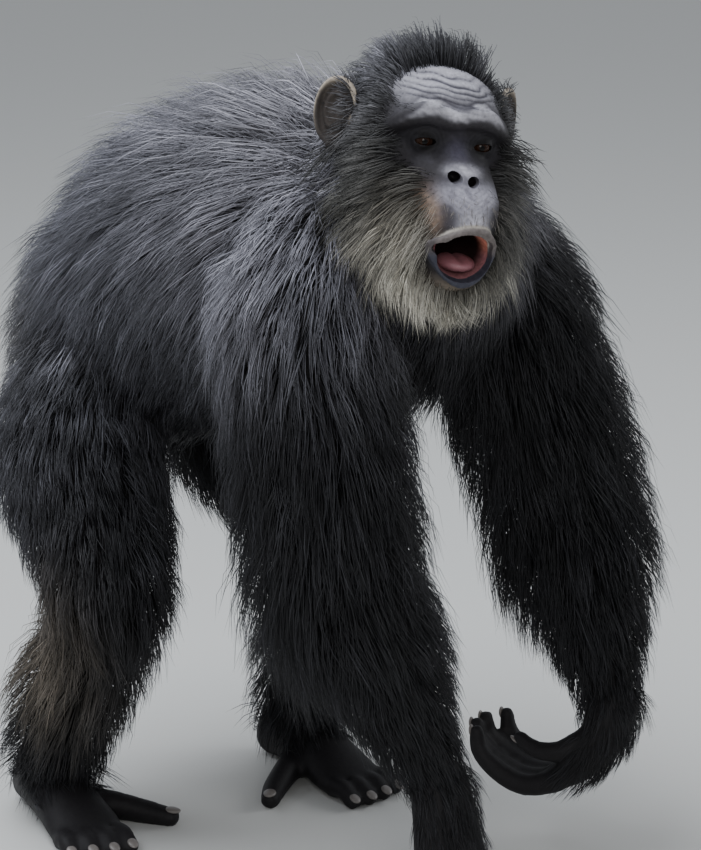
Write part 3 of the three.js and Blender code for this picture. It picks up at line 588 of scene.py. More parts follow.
head = carved(head, melted("hollows", hollows, 0.0012))
hand_clay = []
for side in ("right", "left"):
    fine = [clay("hand_clay", length) for length in hands[side]]
    fine += [clay("foot_clay", length) for length in feet[side]]
    hand_clay.append(melted("hand_clay", fine, 0.0048))
    print("hand", len(hand_clay[-1].data.vertices))
skin = melted("skin", body_clay, 0.017)
print("body", len(skin.data.vertices))
for piece in (head, *hand_clay):
    skin = carved(skin, piece, "UNION", "MANIFOLD")
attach(skin, "root")
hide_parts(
    "head", "ear_right", "ear_left", "neck", "chest", "hindquarters",
    *(f"{part}_{side}" for side in ("right", "left")
      for part in ("upper_arm", "forearm", "hand", "thigh", "shin", "foot")),
)
print("skin", len(skin.data.vertices), len(skin.data.polygons))

# Face: soft wrinkles are pressed across the forehead, the upper lip is creased, and the skin is
# painted in soft spots, over bare near-black skin.
head_inverse = np.array(head_matrix.inverted())


def smooth_step(value, low, high):
    share = np.clip((value - low) / (high - low), 0, 1)
    return share * share * (3 - 2 * share)


def local_to_head(points):
    """Places in the head's own measure: forward, left, up."""
    own = points @ head_inverse[:3, :3].T + head_inverse[:3, 3]
    return np.stack([-own[:, 1], own[:, 0], own[:, 2]], axis=1)


def head_to_world(vectors):
    return np.stack([vectors[:, 1], -vectors[:, 0], vectors[:, 2]], axis=1) @ np.array(head_turn).T




def corner_data():
    """Where the skin's corners are, and which way the skin faces there."""
    data = []
    for source, key in ((skin.data.vertices, "co"), (skin.data.vertex_normals, "vector")):
        values = np.empty(len(source) * 3)
        source.foreach_get(key, values)
        data.append(values.reshape(-1, 3))
    return data


def spot(own, centre, radii, sharp=1.0):
    """A soft spot round a place of the head, 1 in and near its middle."""
    far = np.linalg.norm((own - centre) / np.array(radii), axis=1)
    return np.exp(-sharp * far**3)


split = skin.modifiers.new("split", "TRIANGULATE")
split.min_vertices = 5
bpy.ops.object.select_all(action="DESELECT")
bpy.context.view_layer.objects.active = skin
bpy.ops.object.modifier_apply(modifier="split")
bpy.ops.object.select_all(action="DESELECT")
bpy.context.view_layer.objects.active = skin
bpy.ops.object.mode_set(mode="EDIT")
bpy.ops.mesh.select_all(action="SELECT")
bpy.ops.mesh.dissolve_degenerate(threshold=2e-5)
bpy.ops.mesh.remove_doubles(threshold=2e-5)
bpy.ops.mesh.select_mode(type="FACE")
bpy.ops.mesh.select_all(action="DESELECT")
bpy.ops.object.mode_set(mode="OBJECT")
middles = np.empty(len(skin.data.polygons) * 3)
skin.data.polygons.foreach_get("center", middles)
middles = local_to_head(middles.reshape(-1, 3))
detailed = np.zeros(len(middles), bool)
for centre, radii in (((0.056, 0, 0.022), (0.034, 0.060, 0.040)), ((0.112, 0.006, -0.087), (0.028, 0.041, 0.058))):
    detailed |= np.linalg.norm((middles - centre) / np.array(radii), axis=1) < 1
skin.data.polygons.foreach_set("select", detailed)
bpy.ops.object.mode_set(mode="EDIT")
bpy.ops.mesh.subdivide(number_cuts=1, smoothness=0.6)
bpy.ops.object.mode_set(mode="OBJECT")
skin.data.calc_loop_triangles()
print("skin in detail", len(skin.data.vertices), len(skin.data.loop_triangles))

corner_places, corner_normals = corner_data()
skin_own = local_to_head(corner_places)
near_face = np.linalg.norm(corner_places - np.array(HEAD_PLACE), axis=1) < 0.2
forward, left, up = skin_own.T
WRINKLE_SPACING, WRINKLE_DEPTH = 0.0060, 0.0022
waves = up + 0.07 * left + 0.0012 * np.sin(left / 0.011) + 0.0007 * np.sin(left / 0.0043 + 2)
waves += 0.0016 * np.sin(up / 0.006 + left / 0.03)
row = np.floor(waves / WRINKLE_SPACING)
rolls = np.abs(np.sin(pi * waves / WRINKLE_SPACING)) ** 0.55
strength = 0.65 + 0.35 * np.sin(left / 0.016 + 1.9 * row)
on_forehead = spot(skin_own, (0.052, 0, 0.043), (0.050, 0.064, 0.019), 0.9) * near_face * strength
folds = np.abs(np.sin(pi * (up - 0.5 * np.abs(left - 0.008)) / 0.0052)) ** 0.6
on_muzzle = spot(skin_own, (0.105, 0.008, -0.062), (0.030, 0.036, 0.022), 1.2) * near_face
ringed, by_eyes = np.zeros(len(up)), np.zeros(len(up))
for place in eye_places.values():
    eye_own = local_to_head(np.array([place]))[0]
    off = np.hypot(left - eye_own[1], up - eye_own[2])
    ringed = np.where(off < 0.03, np.abs(np.sin(pi * off / 0.0042)) ** 0.6, ringed)
    by_eyes = np.where(off < 0.03, smooth_step(off, 0.008, 0.012) * (1 - smooth_step(off, 0.018, 0.027)), by_eyes)
by_eyes *= (forward > 0.03) * near_face
pressed = WRINKLE_DEPTH * (rolls - 0.7) * on_forehead + 0.0005 * (folds - 0.6) * on_muzzle
pressed += 0.0006 * (ringed - 0.6) * by_eyes
lip_turn = np.arctan2(up + 0.115, left - 0.004)
by_lips = spot(skin_own, (0.122, 0.004, -0.115), (0.022, 0.046, 0.040)) * near_face
pressed += 0.00016 * np.sin(70 * lip_turn + 2 * np.sin(9 * lip_turn)) * by_lips
brow_up = 0.0185 - 0.06 * left - 0.0040 * np.cos(left / 0.0085) - 5.0 * np.maximum(0, np.abs(left) - 0.030) ** 2 / 0.2
brow_top = np.exp(-(((up - brow_up - 0.004) / 0.0080) ** 4)) * spot(skin_own, (0.066, 0, 0.018), (0.030, 0.066, 0.024)) * near_face
pressed += 0.0004 * np.sin(left / 0.0024 + up / 0.002) * np.sin(left / 0.0061 + 1) * brow_top
corner_places = corner_places + pressed[:, None] * corner_normals
corner_places[:, 2] = np.maximum(corner_places[:, 2], 0.0004)
skin.data.vertices.foreach_set("co", corner_places.ravel())
skin.data.update()
bpy.ops.object.mode_set(mode="EDIT")
bpy.ops.mesh.vertices_smooth(factor=0.5, repeat=1)
bpy.ops.object.mode_set(mode="OBJECT")
corner_places, corner_normals = corner_data()
skin.data.calc_loop_triangles()
triangles = np.empty(len(skin.data.loop_triangles) * 3, int)
skin.data.loop_triangles.foreach_get("vertices", triangles)
triangles = triangles.reshape(-1, 3)

LIMB_SKIN = (0.013, 0.012, 0.013)
FACE_SKIN = (0.030, 0.027, 0.031)
FACE_MARKS_AND_SHADE = (  # centre and radii in the head's measure, colour, share
    ((0.030, -0.002, 0.052), (0.060, 0.070, 0.030), (0.410, 0.400, 0.445), 0.97),
    # the two eye regions: near-black skin, darkened further as painted shade under the brow ridge
    ((0.062, 0.030, -0.010), (0.034, 0.034, 0.021), (0.006, 0.0055, 0.006), 1.0),
    ((0.062, -0.030, -0.007), (0.034, 0.034, 0.021), (0.006, 0.0055, 0.006), 1.0),
    ((0.084, 0, -0.016), (0.022, 0.013, 0.017), (0.060, 0.056, 0.078), 0.85),
    ((0.102, 0.001, -0.031), (0.016, 0.020, 0.007), (0.470, 0.460, 0.510), 0.88),
    ((0.108, 0.008, -0.058), (0.030, 0.034, 0.016), (0.440, 0.430, 0.500), 0.94),
    ((0.116, 0.010, -0.080), (0.024, 0.017, 0.013), (0.560, 0.550, 0.620), 0.92),
    ((0.108, -0.017, -0.074), (0.020, 0.010, 0.013), (0.045, 0.040, 0.046), 0.85),
    ((0.106, 0.037, -0.074), (0.024, 0.012, 0.013), (0.045, 0.040, 0.044), 0.90),
    ((0.088, -0.034, -0.080), (0.030, 0.016, 0.026), (0.420, 0.300, 0.220), 0.90),
    ((0.090, 0.006, -0.156), (0.040, 0.040, 0.020), (0.200, 0.165, 0.130), 0.80),
    ((-0.038, 0.098, 0.000), (0.040, 0.022, 0.048), (0.050, 0.042, 0.038), 0.95),
    ((-0.038, -0.098, 0.000), (0.040, 0.022, 0.048), (0.050, 0.042, 0.038), 0.95),
)
skin_colours = np.tile(LIMB_SKIN, (len(corner_places), 1))


def paint(share, colour):
    """Brush a colour, or a colour for each corner, on the skin."""
    skin_colours[:] = skin_colours * (1 - share[:, None]) + np.array(colour) * share[:, None]


paint(spot(skin_own, (0.070, 0, -0.040), (0.075, 0.085, 0.125), 1.0) * near_face, FACE_SKIN)
for centre, radii, colour, share in FACE_MARKS_AND_SHADE:
    paint(share * near_face * spot(skin_own, centre, radii), colour)
head_normals = corner_normals @ np.array(head_turn)
out_of_ear = np.hypot((forward + 0.038) / (0.0245 * cos(EAR_STAND)), up / 0.0345)
on_rim = smooth_step(out_of_ear, 0.80, 0.98) * (1 - smooth_step(out_of_ear, 1.15, 1.3)) * (np.abs(left) > 0.080)
paint(0.85 * on_rim * smooth_step(up, -0.03, 0.01) * near_face, (0.430, 0.370, 0.300))
# painted highlight: the brow ridge is painted pale where it faces upwards, towards the light
paint(0.92 * brow_top * smooth_step(head_normals[:, 2], -0.35, 0.25), (0.520, 0.510, 0.560))
# painted shade: the bottoms of the forehead furrows and of the folds of the muzzle are painted darker
paint(np.clip(3.0 * on_forehead * (1 - rolls) ** 1.1, 0, 0.94), (0.045, 0.042, 0.055))
paint(0.6 * on_muzzle * (1 - folds) ** 1.5, (0.090, 0.085, 0.110))
blotch = np.sin(left / 0.0051 + 1.3 * np.sin(up / 0.0047)) * np.sin(up / 0.0043 + 1.7 * np.sin(left / 0.0066))
face_share = spot(skin_own, (0.100, 0.006, -0.050), (0.045, 0.045, 0.050)) * near_face
paint(0.45 * face_share * smooth_step(blotch, 0.25, 0.8), (0.080, 0.074, 0.092))
# painted shade: a dark line in the crease above the brow ridge
above_brow = np.exp(-(((up - brow_up - 0.0130) / 0.0020) ** 2))
paint(0.85 * above_brow * spot(skin_own, (0.066, 0, 0.028), (0.03, 0.058, 0.02)) * near_face, (0.040, 0.037, 0.048))
paint(0.3 * by_eyes * ringed, (0.040, 0.038, 0.046))
lip_line = local_to_head(through([in_head(*place) for place in LIP_LINE + LIP_LINE[:2]], np.linspace(0, 1, 150), True))
lip_tree = KDTree(len(lip_line))
for i, place in enumerate(lip_line):
    lip_tree.insert(place, i)
lip_tree.balance()
lip_off = np.full(len(up), 1.0)
for i in np.flatnonzero(spot(skin_own, (0.118, 0.004, -0.115), (0.03, 0.05, 0.045), 1) > 0.3):
    lip_off[i] = lip_tree.find(skin_own[i])[2]
on_lips = 1 - smooth_step(lip_off, 0.0070, 0.0090)
lower = smooth_step(-0.108 - up, 0, 0.01)[:, None]
paint(on_lips, np.array((0.085, 0.075, 0.078)) * (1 - lower) + np.array((0.045, 0.046, 0.062)) * lower)
# the pale front edge of the lips, brightened further as a painted highlight where they stand furthest forward
rim = on_lips * smooth_step(forward + 0.2 * (up + 0.1), 0.118, 0.124)
paint(0.7 * rim, np.array((0.150, 0.130, 0.122)) * (1 - lower) + np.array((0.190, 0.195, 0.240)) * lower)
cream = np.exp(-(((lip_off - 0.0068) / 0.0016) ** 2)) * smooth_step(up, -0.112, -0.100) * near_face * (lip_off < 0.02)
paint(0.75 * cream, (0.500, 0.460, 0.400))
mouth_t, mouth_turn, mouth_far, _ = mouth_hollow.locate(corner_places)
in_mouth = (1 - smooth_step(mouth_far, 1.03, 1.10)) * (1 - on_lips) * (spot(skin_own, (0.10, 0.004, -0.11), (0.05, 0.04, 0.04), 1) > 0.3)
warm = smooth_step(left, -0.004, 0.010)[:, None] * smooth_step(up, -0.118, -0.104)[:, None]
paint(in_mouth, np.array((0.330, 0.140, 0.150)) * (1 - warm) + np.array((0.500, 0.180, 0.130)) * warm)
# painted shade: the mouth is painted near-black deeper inside
paint(in_mouth * smooth_step(0.112 - forward, 0, 0.020), (0.012, 0.005, 0.005))
# painted shade: the insides of the nostrils are painted near-black
for sign in (-1, 1):
    hole = spot(skin_own, (0.096, 0.001 + sign * 0.0088, -0.040 - sign * 0.002), (0.0085, 0.0075, 0.006), 0.7) * near_face
    inward = smooth_step(hole, 0.45, 0.6)
    paint(inward * (forward < 0.1035), (0.006, 0.005, 0.006))

skin_tint = skin.data.attributes.new("tint", "FLOAT_COLOR", "POINT")
rgba = np.ones((len(corner_places), 4))
rgba[:, :3] = skin_colours
skin_tint.data.foreach_set("color", rgba.ravel())
leather = skin.data.attributes.new("leather", "FLOAT", "POINT")
leather.data.foreach_set("value", smooth_step(0.35 - corner_places[:, 2], 0, 0.05))
skin_finish, shader, nodes, links = finish_of("bare_skin", FACE_SKIN, 0.56)
shader.inputs["Specular IOR Level"].default_value = 0.16


def node(nodes, kind, **values):
    made = nodes.new(kind)
    for key, value in values.items():
        if key in made.inputs:
            made.inputs[key].default_value = value
        else:
            setattr(made, key, value)
    return made


place = node(nodes, "ShaderNodeTexCoord")
tint = node(nodes, "ShaderNodeAttribute", attribute_name="tint")
mottle = node(nodes, "ShaderNodeTexNoise", Scale=260, Detail=6)
ramp = node(nodes, "ShaderNodeMapRange")
ramp.inputs["To Min"].default_value, ramp.inputs["To Max"].default_value = 0.55, 1.45
shade = node(nodes, "ShaderNodeVectorMath", operation="SCALE")
links.new(place.outputs["Object"], mottle.inputs["Vector"])
links.new(mottle.outputs["Fac"], ramp.inputs["Value"])
links.new(tint.outputs["Color"], shade.inputs[0])
links.new(ramp.outputs["Result"], shade.inputs["Scale"])
links.new(shade.outputs["Vector"], shader.inputs["Base Color"])
pores = node(nodes, "ShaderNodeTexVoronoi", Scale=1300)
crease = node(nodes, "ShaderNodeTexNoise", Scale=240, Detail=10)
mix = node(nodes, "ShaderNodeMath", operation="MULTIPLY")
bump = node(nodes, "ShaderNodeBump", Strength=0.4, Distance=0.0007)
for texture in (pores, crease):
    links.new(place.outputs["Object"], texture.inputs["Vector"])
links.new(pores.outputs["Distance"], mix.inputs[0])
links.new(crease.outputs["Fac"], mix.inputs[1])
links.new(mix.outputs[0], bump.inputs["Height"])
cracks = node(nodes, "ShaderNodeTexVoronoi", feature="DISTANCE_TO_EDGE", Scale=150)
share = node(nodes, "ShaderNodeAttribute", attribute_name="leather")
warp = node(nodes, "ShaderNodeTexNoise", Scale=60, Detail=3)
bent = node(nodes, "ShaderNodeVectorMath", operation="MULTIPLY_ADD")
bent.inputs[1].default_value = (0.02, 0.02, 0.02)
depth = node(nodes, "ShaderNodeMath", operation="MULTIPLY")
folds_bump = node(nodes, "ShaderNodeBump", Strength=0.7, Distance=0.004)
links.new(place.outputs["Object"], warp.inputs["Vector"])
links.new(warp.outputs["Color"], bent.inputs[0])
links.new(place.outputs["Object"], bent.inputs[2])
links.new(bent.outputs["Vector"], cracks.inputs["Vector"])
links.new(cracks.outputs["Distance"], depth.inputs[0])
links.new(share.outputs["Fac"], depth.inputs[1])
links.new(depth.outputs[0], folds_bump.inputs["Height"])
links.new(bump.outputs["Normal"], folds_bump.inputs["Normal"])
links.new(folds_bump.outputs["Normal"], shader.inputs["Normal"])
skin.data.materials.clear()
skin.data.materials.append(skin_finish)

# Eyes: glass balls with a bulging front, dark round the brown iris, set deep behind the lids.
eye_finish, shader, nodes, links = finish_of("eye_glass", (0.05, 0.02, 0.01), 0.06)
place = node(nodes, "ShaderNodeUVMap")
split = node(nodes, "ShaderNodeSeparateXYZ")
rings = node(nodes, "ShaderNodeValToRGB")
links.new(place.outputs["UV"], split.inputs[0])
links.new(split.outputs["Y"], rings.inputs["Fac"])
links.new(rings.outputs["Color"], shader.inputs["Base Color"])
band = rings.color_ramp.elements
band[0].position, band[0].color = 0.780, (0.034, 0.019, 0.014, 1)
band[1].position, band[1].color = 0.830, (0.020, 0.008, 0.004, 1)
for position, colour in ((0.850, (0.024, 0.010, 0.005)), (0.915, (0.015, 0.006, 0.003)), (0.930, (0.002, 0.002, 0.002))):
    band.new(position).color = (*colour, 1)
shader.inputs["Specular IOR Level"].default_value = 0.16
GAZE = facing(1, -0.10, -0.05)
for side in ("right", "left"):
    bpy.ops.object.select_all(action="DESELECT")
    bpy.ops.mesh.primitive_uv_sphere_add(segments=48, ring_count=32, radius=EYE_RADIUS)
    eye = bpy.context.object
    eye.name = f"glass_eye_{side}"
    for corner in eye.data.vertices:
        front = max(0, corner.co.z / EYE_RADIUS - 0.82) / 0.18
        corner.co *= 1 + 0.07 * front**0.7
    turn_to = GAZE.to_track_quat("Z", "Y").to_matrix().to_4x4()
    eye.data.transform(Matrix.Translation(eye_places[side]) @ turn_to)
    bpy.ops.object.shade_smooth()
    eye.data.materials.append(eye_finish)
    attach(eye, "root")
    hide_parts(f"eye_{side}")

# Tongue: soft and wet, with a groove down its middle, low in the open mouth.
tongue = ball("tongue_flesh", in_head(0.092, 0.006, -0.1255), (0.0200, 0.026, 0.0090), None, 40, 28)
for corner in tongue.data.vertices:
    own = head_matrix.inverted() @ corner.co
    risen = np.clip((own.z + 0.1255) / 0.009, 0, 1)
    corner.co -= head_up * 0.0030 * np.exp(-(((own.x - 0.006) / 0.004) ** 2)) * risen
tongue_finish, shader, nodes, links = finish_of("tongue_skin", (0.270, 0.110, 0.125), 0.30)
place = node(nodes, "ShaderNodeTexCoord")
buds = node(nodes, "ShaderNodeTexVoronoi", Scale=1100)
bump = node(nodes, "ShaderNodeBump", Strength=0.5, Distance=0.0006)
links.new(place.outputs["Object"], buds.inputs["Vector"])
links.new(buds.outputs["Distance"], bump.inputs["Height"])
links.new(bump.outputs["Normal"], shader.inputs["Normal"])
bpy.ops.object.shade_smooth()
tongue.data.materials.append(tongue_finish)
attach(tongue, "root")
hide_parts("tongue")

# Nails: flat, curved plates of pale horn on the back of each fingertip and toe tip.
nail_finish, shader, nodes, links = finish_of("nail_horn", (0.16, 0.145, 0.135), 0.34)
place = node(nodes, "ShaderNodeTexCoord")
grain = node(nodes, "ShaderNodeTexNoise", Scale=520, Detail=4)
bump = node(nodes, "ShaderNodeBump", Strength=0.3, Distance=0.0004)
links.new(place.outputs["Object"], grain.inputs["Vector"])
links.new(grain.outputs["Fac"], bump.inputs["Height"])
links.new(bump.outputs["Normal"], shader.inputs["Normal"])
nails = []
finger_sets = {"right": hands["right"][2::2] + hands["right"][-1:], "left": hands["left"][1:]}
for digits in (feet["right"][1:], feet["left"][1:], finger_sets["right"], finger_sets["left"]):
    on_foot = digits in (feet["right"][1:], feet["left"][1:])
    for digit in digits:
        centre, along, across, _, sizes = (value[0] for value in digit.frames([0.97]))
        before = digit.frames([0.6])[1][0]
        back = np.array([0, 0, 1.0]) if on_foot else before - along
        back = unit(back - along * (back @ along))
        wide, deep = sizes[:2]
        bpy.ops.object.select_all(action="DESELECT")
        bpy.ops.mesh.primitive_uv_sphere_add(segments=20, ring_count=12, radius=1)
        nail = bpy.context.object
        axes = Matrix([np.cross(along, back), along, back]).transposed().to_4x4()
        middle = Vector(centre + back * deep * 0.80 + along * deep * 0.25)
        size = Matrix.Diagonal((wide * 0.62, wide * 0.80, wide * 0.26, 1))
        nail.data.transform(Matrix.Translation(middle) @ axes @ size)
        nails.append(nail)
bpy.ops.object.select_all(action="DESELECT")
for nail in nails:
    nail.select_set(True)
bpy.context.view_layer.objects.active = nails[0]
bpy.ops.object.join()
nails[0].name = "nails"
bpy.ops.object.shade_smooth()
nails[0].data.materials.append(nail_finish)
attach(nails[0], "root")

# Coat, its lie: the hair is long and straight. On the back it lies towards the rump and ever more
# downwards on the flanks, on the limbs it lies down them, and on the head it follows guides that
# are listed. Each root keeps where it grows, which way it lies, and how far it stands off.
coat_draw = np.random.default_rng(41)
body_lengths = {"trunk": trunk, "neck": neck}
for side in ("right", "left"):
    for part, length in limbs[side].items():
        body_lengths[f"{part}_{side}"] = length
    body_lengths[f"hand_{side}"] = hands[side][0]
    body_lengths[f"foot_{side}"] = feet[side][0]
BODY_NAMES = list(body_lengths)
FINE_BODY = ("hand_right", "hand_left", "foot_right", "foot_left")

HEAD_GUIDES = (  # place, lie, how far the tips stand off the skin, how long the hair is
    ((0.044, 0.022, 0.054), (-0.55, 0.15, 0.70), 0.027, 0.038),
    ((-0.010, 0.022, 0.066), (-0.90, 0.15, 0.45), 0.038, 0.056),
    ((-0.070, 0.022, 0.050), (-1.00, 0.15, -0.10), 0.036, 0.060),
    ((-0.100, 0.020, -0.010), (-0.50, 0.10, -0.90), 0.034, 0.060),
    ((0.030, 0.062, 0.022), (-0.85, 0.30, 0.15), 0.008, 0.022),
    ((-0.020, 0.074, 0.020), (-0.80, 0.30, -0.10), 0.008, 0.024),
    ((0.036, 0.064, -0.020), (-0.75, 0.60, -0.30), 0.022, 0.048),
    ((0.010, 0.068, -0.050), (-0.60, 0.65, -0.50), 0.034, 0.066),
    ((0.000, 0.060, -0.085), (-0.40, 0.50, -0.80), 0.044, 0.080),
    ((0.040, 0.046, -0.110), (-0.25, 0.35, -0.95), 0.034, 0.062),
    ((0.080, 0.026, -0.140), (0.05, 0.15, -1.00), 0.024, 0.046),
    ((0.100, 0.008, -0.160), (0.15, 0.05, -1.00), 0.018, 0.044),
)
BARE_FACE = (  # centre and radii of the places of the head where no long hair grows
    ((0.052, -0.001, 0.036), (0.060, 0.057, 0.032)),
    ((0.054, 0, 0.010), (0.050, 0.070, 0.026)),
    ((0.066, 0, -0.012), (0.050, 0.054, 0.034)),
    ((0.096, 0.006, -0.060), (0.056, 0.037, 0.052)),
    ((0.118, 0.004, -0.114), (0.050, 0.040, 0.034)),
    ((0.080, 0.004, -0.108), (0.040, 0.026, 0.020)),
    ((-0.038, 0.104, 0.004), (0.034, 0.021, 0.044)),
    ((-0.038, -0.104, 0.004), (0.034, 0.021, 0.044)),
)


def bare_share(own):
    """How far a place of the head is inside the bare face, from 0 to 1."""
    inside = np.zeros(len(own))
    for centre, radii in BARE_FACE:
        far = np.linalg.norm((own - centre) / np.array(radii), axis=1)
        inside = np.maximum(inside, 1 - smooth_step(far, 0.86, 1.06))
    return inside


def sown(count, density):
    """Places of roots on the skin, spread evenly where the density is even."""
    a, b, c = (corner_places[triangles[:, k]] for k in range(3))
    area = np.linalg.norm(np.cross(b - a, c - a), axis=1) / 2
    summed = np.cumsum(area * density((a + b + c) / 3))
    steps = (np.arange(count) + coat_draw.random(count)) / count
    chosen = np.minimum(np.searchsorted(summed, steps * summed[-1]), len(area) - 1)
    u, v = coat_draw.random((2, count))
    over = u + v > 1
    u[over], v[over] = 1 - u[over], 1 - v[over]
    weights = np.stack([1 - u - v, u, v], axis=1)[:, :, None]
    corners = triangles[chosen]
    places = (corner_places[corners] * weights).sum(1)
    return places, unit((corner_normals[corners] * weights).sum(1))


def body_fields(points):
    """For each point the part of the body that it is on, t and turn there, and the lie of the
    hair and how far its tips stand off, blended where parts meet."""
    count = len(points)
    far_out = np.empty((len(BODY_NAMES), count))
    t_all, turn_all = np.empty_like(far_out), np.empty_like(far_out)
    lie, stand, share = np.zeros((count, 3)), np.zeros(count), np.zeros(count)
    for i, name in enumerate(BODY_NAMES):
        length = body_lengths[name]
        t, turn, far, found = length.locate(points)
        t_all[i], turn_all[i], far_out[i] = t, turn, far
        along, sizes = length.table["along"][found], length.table["sizes"][found]
        height = sizes[:, 2] + np.maximum(0, sizes[:, 3] * np.sin(turn))
        direction = along.copy()
        if name == "trunk":
            lean = radians(58) * np.abs(np.cos(turn))[:, None]
            direction = -along * np.cos(lean) + np.array([0, 0, -1]) * np.sin(lean)
        if name == "neck":
            direction = -along
        if name in FINE_BODY:
            height = np.full(count, 0.006)
        weight = np.exp(-9 * (far - 1)) * (0.3 if name in FINE_BODY else 1)
        lie += direction * weight[:, None]
        stand += height * weight
        share += weight
    part = far_out.argmin(0)
    rows = np.arange(count)
    stand = stand / share
    return part, t_all[part, rows], turn_all[part, rows], far_out.min(0), unit(lie), stand


def head_shares(points, body_far):
    """How much each place belongs to the head and not to the body below it, from 0 to 1."""
    own_far = np.min([length.locate(points)[2] for length in (skull, muzzle, jaw)], axis=0)
    return smooth_step(body_far - own_far, -0.2, 0.3)


def head_fields(own):
    """The lie, stand-off and length of the hair of the head, from the nearest guides."""
    lie, stand, long, share = np.zeros((len(own), 3)), 0, 0, 0
    for sign in (-1, 1):
        mirror = np.array([1, sign, 1])
        for place, direction, height, length in HEAD_GUIDES:
            away = np.linalg.norm(own - np.array(place) * mirror, axis=1)
            weight = np.exp(-((away / 0.026) ** 2)) + 1e-9
            lie += weight[:, None] * np.array(direction) * mirror
            stand, long, share = stand + weight * height, long + weight * length, share + weight
    return head_to_world(unit(lie)), stand / share, long / share


# Coat, its colour: black, with a blue-grey painted sheen of the light from above on the back,
# shoulders and right flank, a brown-grey patch on the outside of the right shin, an olive-grey ruff
# and an off-white beard. The beard and the hair beside the mouth are painted darker on the left of
# the face as painted shade, and the right of the crown carries a lavender-grey painted sheen. The
# skin under the coat carries the same markings, painted sheen and painted shade, darker.
COAT_BLACK = (0.012, 0.012, 0.014)
COAT_MARKS_AND_SHEEN = (  # place, radii along X, Y and Z, colour, share
    # the first five rows, hump, back, right shoulder, right flank and rear of the back, are a blue-grey painted sheen
    # of the light from above on black hair
    (at(0.14, -0.02, 0.86), (0.22, 0.22, 0.12), (0.300, 0.292, 0.322), 0.90),
    (at(-0.05, -0.06, 0.80), (0.20, 0.18, 0.14), (0.180, 0.178, 0.205), 0.80),
    (at(0.19, -0.19, 0.775), (0.12, 0.13, 0.095), (0.320, 0.318, 0.365), 0.88),
    (at(-0.10, -0.16, 0.68), (0.10, 0.24, 0.15), (0.120, 0.122, 0.145), 0.70),
    (at(-0.22, -0.04, 0.70), (0.20, 0.18, 0.16), (0.150, 0.152, 0.178), 0.65),
    (at(0.06, 0.02, 0.885), (0.07, 0.06, 0.05), (0.040, 0.040, 0.048), 0.70),
    (at(-0.36, -0.04, 0.58), (0.09, 0.14, 0.12), (0.230, 0.222, 0.222), 0.70),
    (at(-0.13, -0.24, 0.25), (0.05, 0.06, 0.085), (0.290, 0.245, 0.195), 0.75),
    (at(-0.26, -0.18, 0.42), (0.10, 0.12, 0.14), (0.085, 0.085, 0.098), 0.60),
)
HEAD_MARKS_SHEEN_AND_SHADE = (  # the same in the head's own measure, and on which sides
    ((0.020, 0.066, -0.030), (0.07, 0.05, 0.05), (0.085, 0.083, 0.080), 0.85, (-1, 1)),
    ((0.010, 0.066, -0.085), (0.08, 0.06, 0.05), (0.140, 0.137, 0.124), 0.85, (-1, 1)),
    # the next four rows: pale beard and hair by the mouth on the right of the face; on the left they are painted
    # darker, as painted shade on the side turned from the light
    ((0.076, 0.038, -0.100), (0.05, 0.03, 0.05), (0.400, 0.370, 0.310), 0.85, (-1,)),
    ((0.076, 0.040, -0.100), (0.05, 0.03, 0.05), (0.120, 0.115, 0.102), 0.80, (1,)),
    ((0.070, 0.030, -0.145), (0.05, 0.05, 0.05), (0.600, 0.570, 0.490), 0.95, (-1,)),
    ((0.070, 0.020, -0.150), (0.05, 0.03, 0.05), (0.440, 0.420, 0.360), 0.80, (1,)),
    # painted sheen: lavender-grey on the right of the crown, where the light falls, and darker on its left
    ((-0.030, 0.060, 0.050), (0.05, 0.05, 0.04), (0.200, 0.198, 0.225), 0.75, (-1,)),
    ((-0.030, 0.060, 0.050), (0.05, 0.05, 0.04), (0.080, 0.078, 0.088), 0.75, (1,)),
    ((0.000, 0.074, 0.010), (0.04, 0.04, 0.04), (0.130, 0.127, 0.135), 0.70, (-1, 1)),
)


def coat_colours(points, own, on_head):
    colours = np.tile(COAT_BLACK, (len(points), 1))
    for centre, radii, colour, share in COAT_MARKS_AND_SHEEN:
        far = np.linalg.norm((points - np.array(centre)) / np.array(radii), axis=1)
        blend = (share * np.exp(-(far**2) * 1.2) * ~on_head)[:, None]
        colours = colours * (1 - blend) + np.array(colour) * blend
    for centre, radii, colour, share, signs in HEAD_MARKS_SHEEN_AND_SHADE:
        for sign in signs:
            far = np.linalg.norm((own - np.array(centre) * [1, sign, 1]) / np.array(radii), axis=1)
            blend = (share * np.exp(-(far**2) * 1.4) * on_head)[:, None]
            colours = colours * (1 - blend) + np.array(colour) * blend
    return colours


own_all = local_to_head(corner_places)
part_all, _, _, far_all, _, _ = body_fields(corner_places)
own_share = head_shares(corner_places, far_all)
coated = np.where(own_share > 0.5, 1 - bare_share(own_all), ~np.isin(np.array(BODY_NAMES)[part_all], FINE_BODY))
under = coat_colours(corner_places, own_all, own_share > 0.5) * 0.4
rgba[:, :3] = skin_colours * (1 - coated[:, None]) + under * coated[:, None]
skin_tint.data.foreach_set("color", rgba.ravel())

# Coat, the hair itself: each lock is a slender, tapered blade with a ridge, rooted in the skin. It
# rises off it, bends along the lie and droops, and gathers with its neighbours towards its tip.
LOCK_SHARES = np.array([0.0, 0.36, 0.72, 1.0])  # where a lock's rings are along it
LOCK_WIDTHS = np.array([0.8, 1.0, 0.7])
LOCK_COUNT = 92000
CLUMP_SIZE = 11
HEAD_REACH = 0.175


STUBBLE = ((0.112, 0.006, -0.078), (0.040, 0.044, 0.030))  # where the muzzle is stubbly


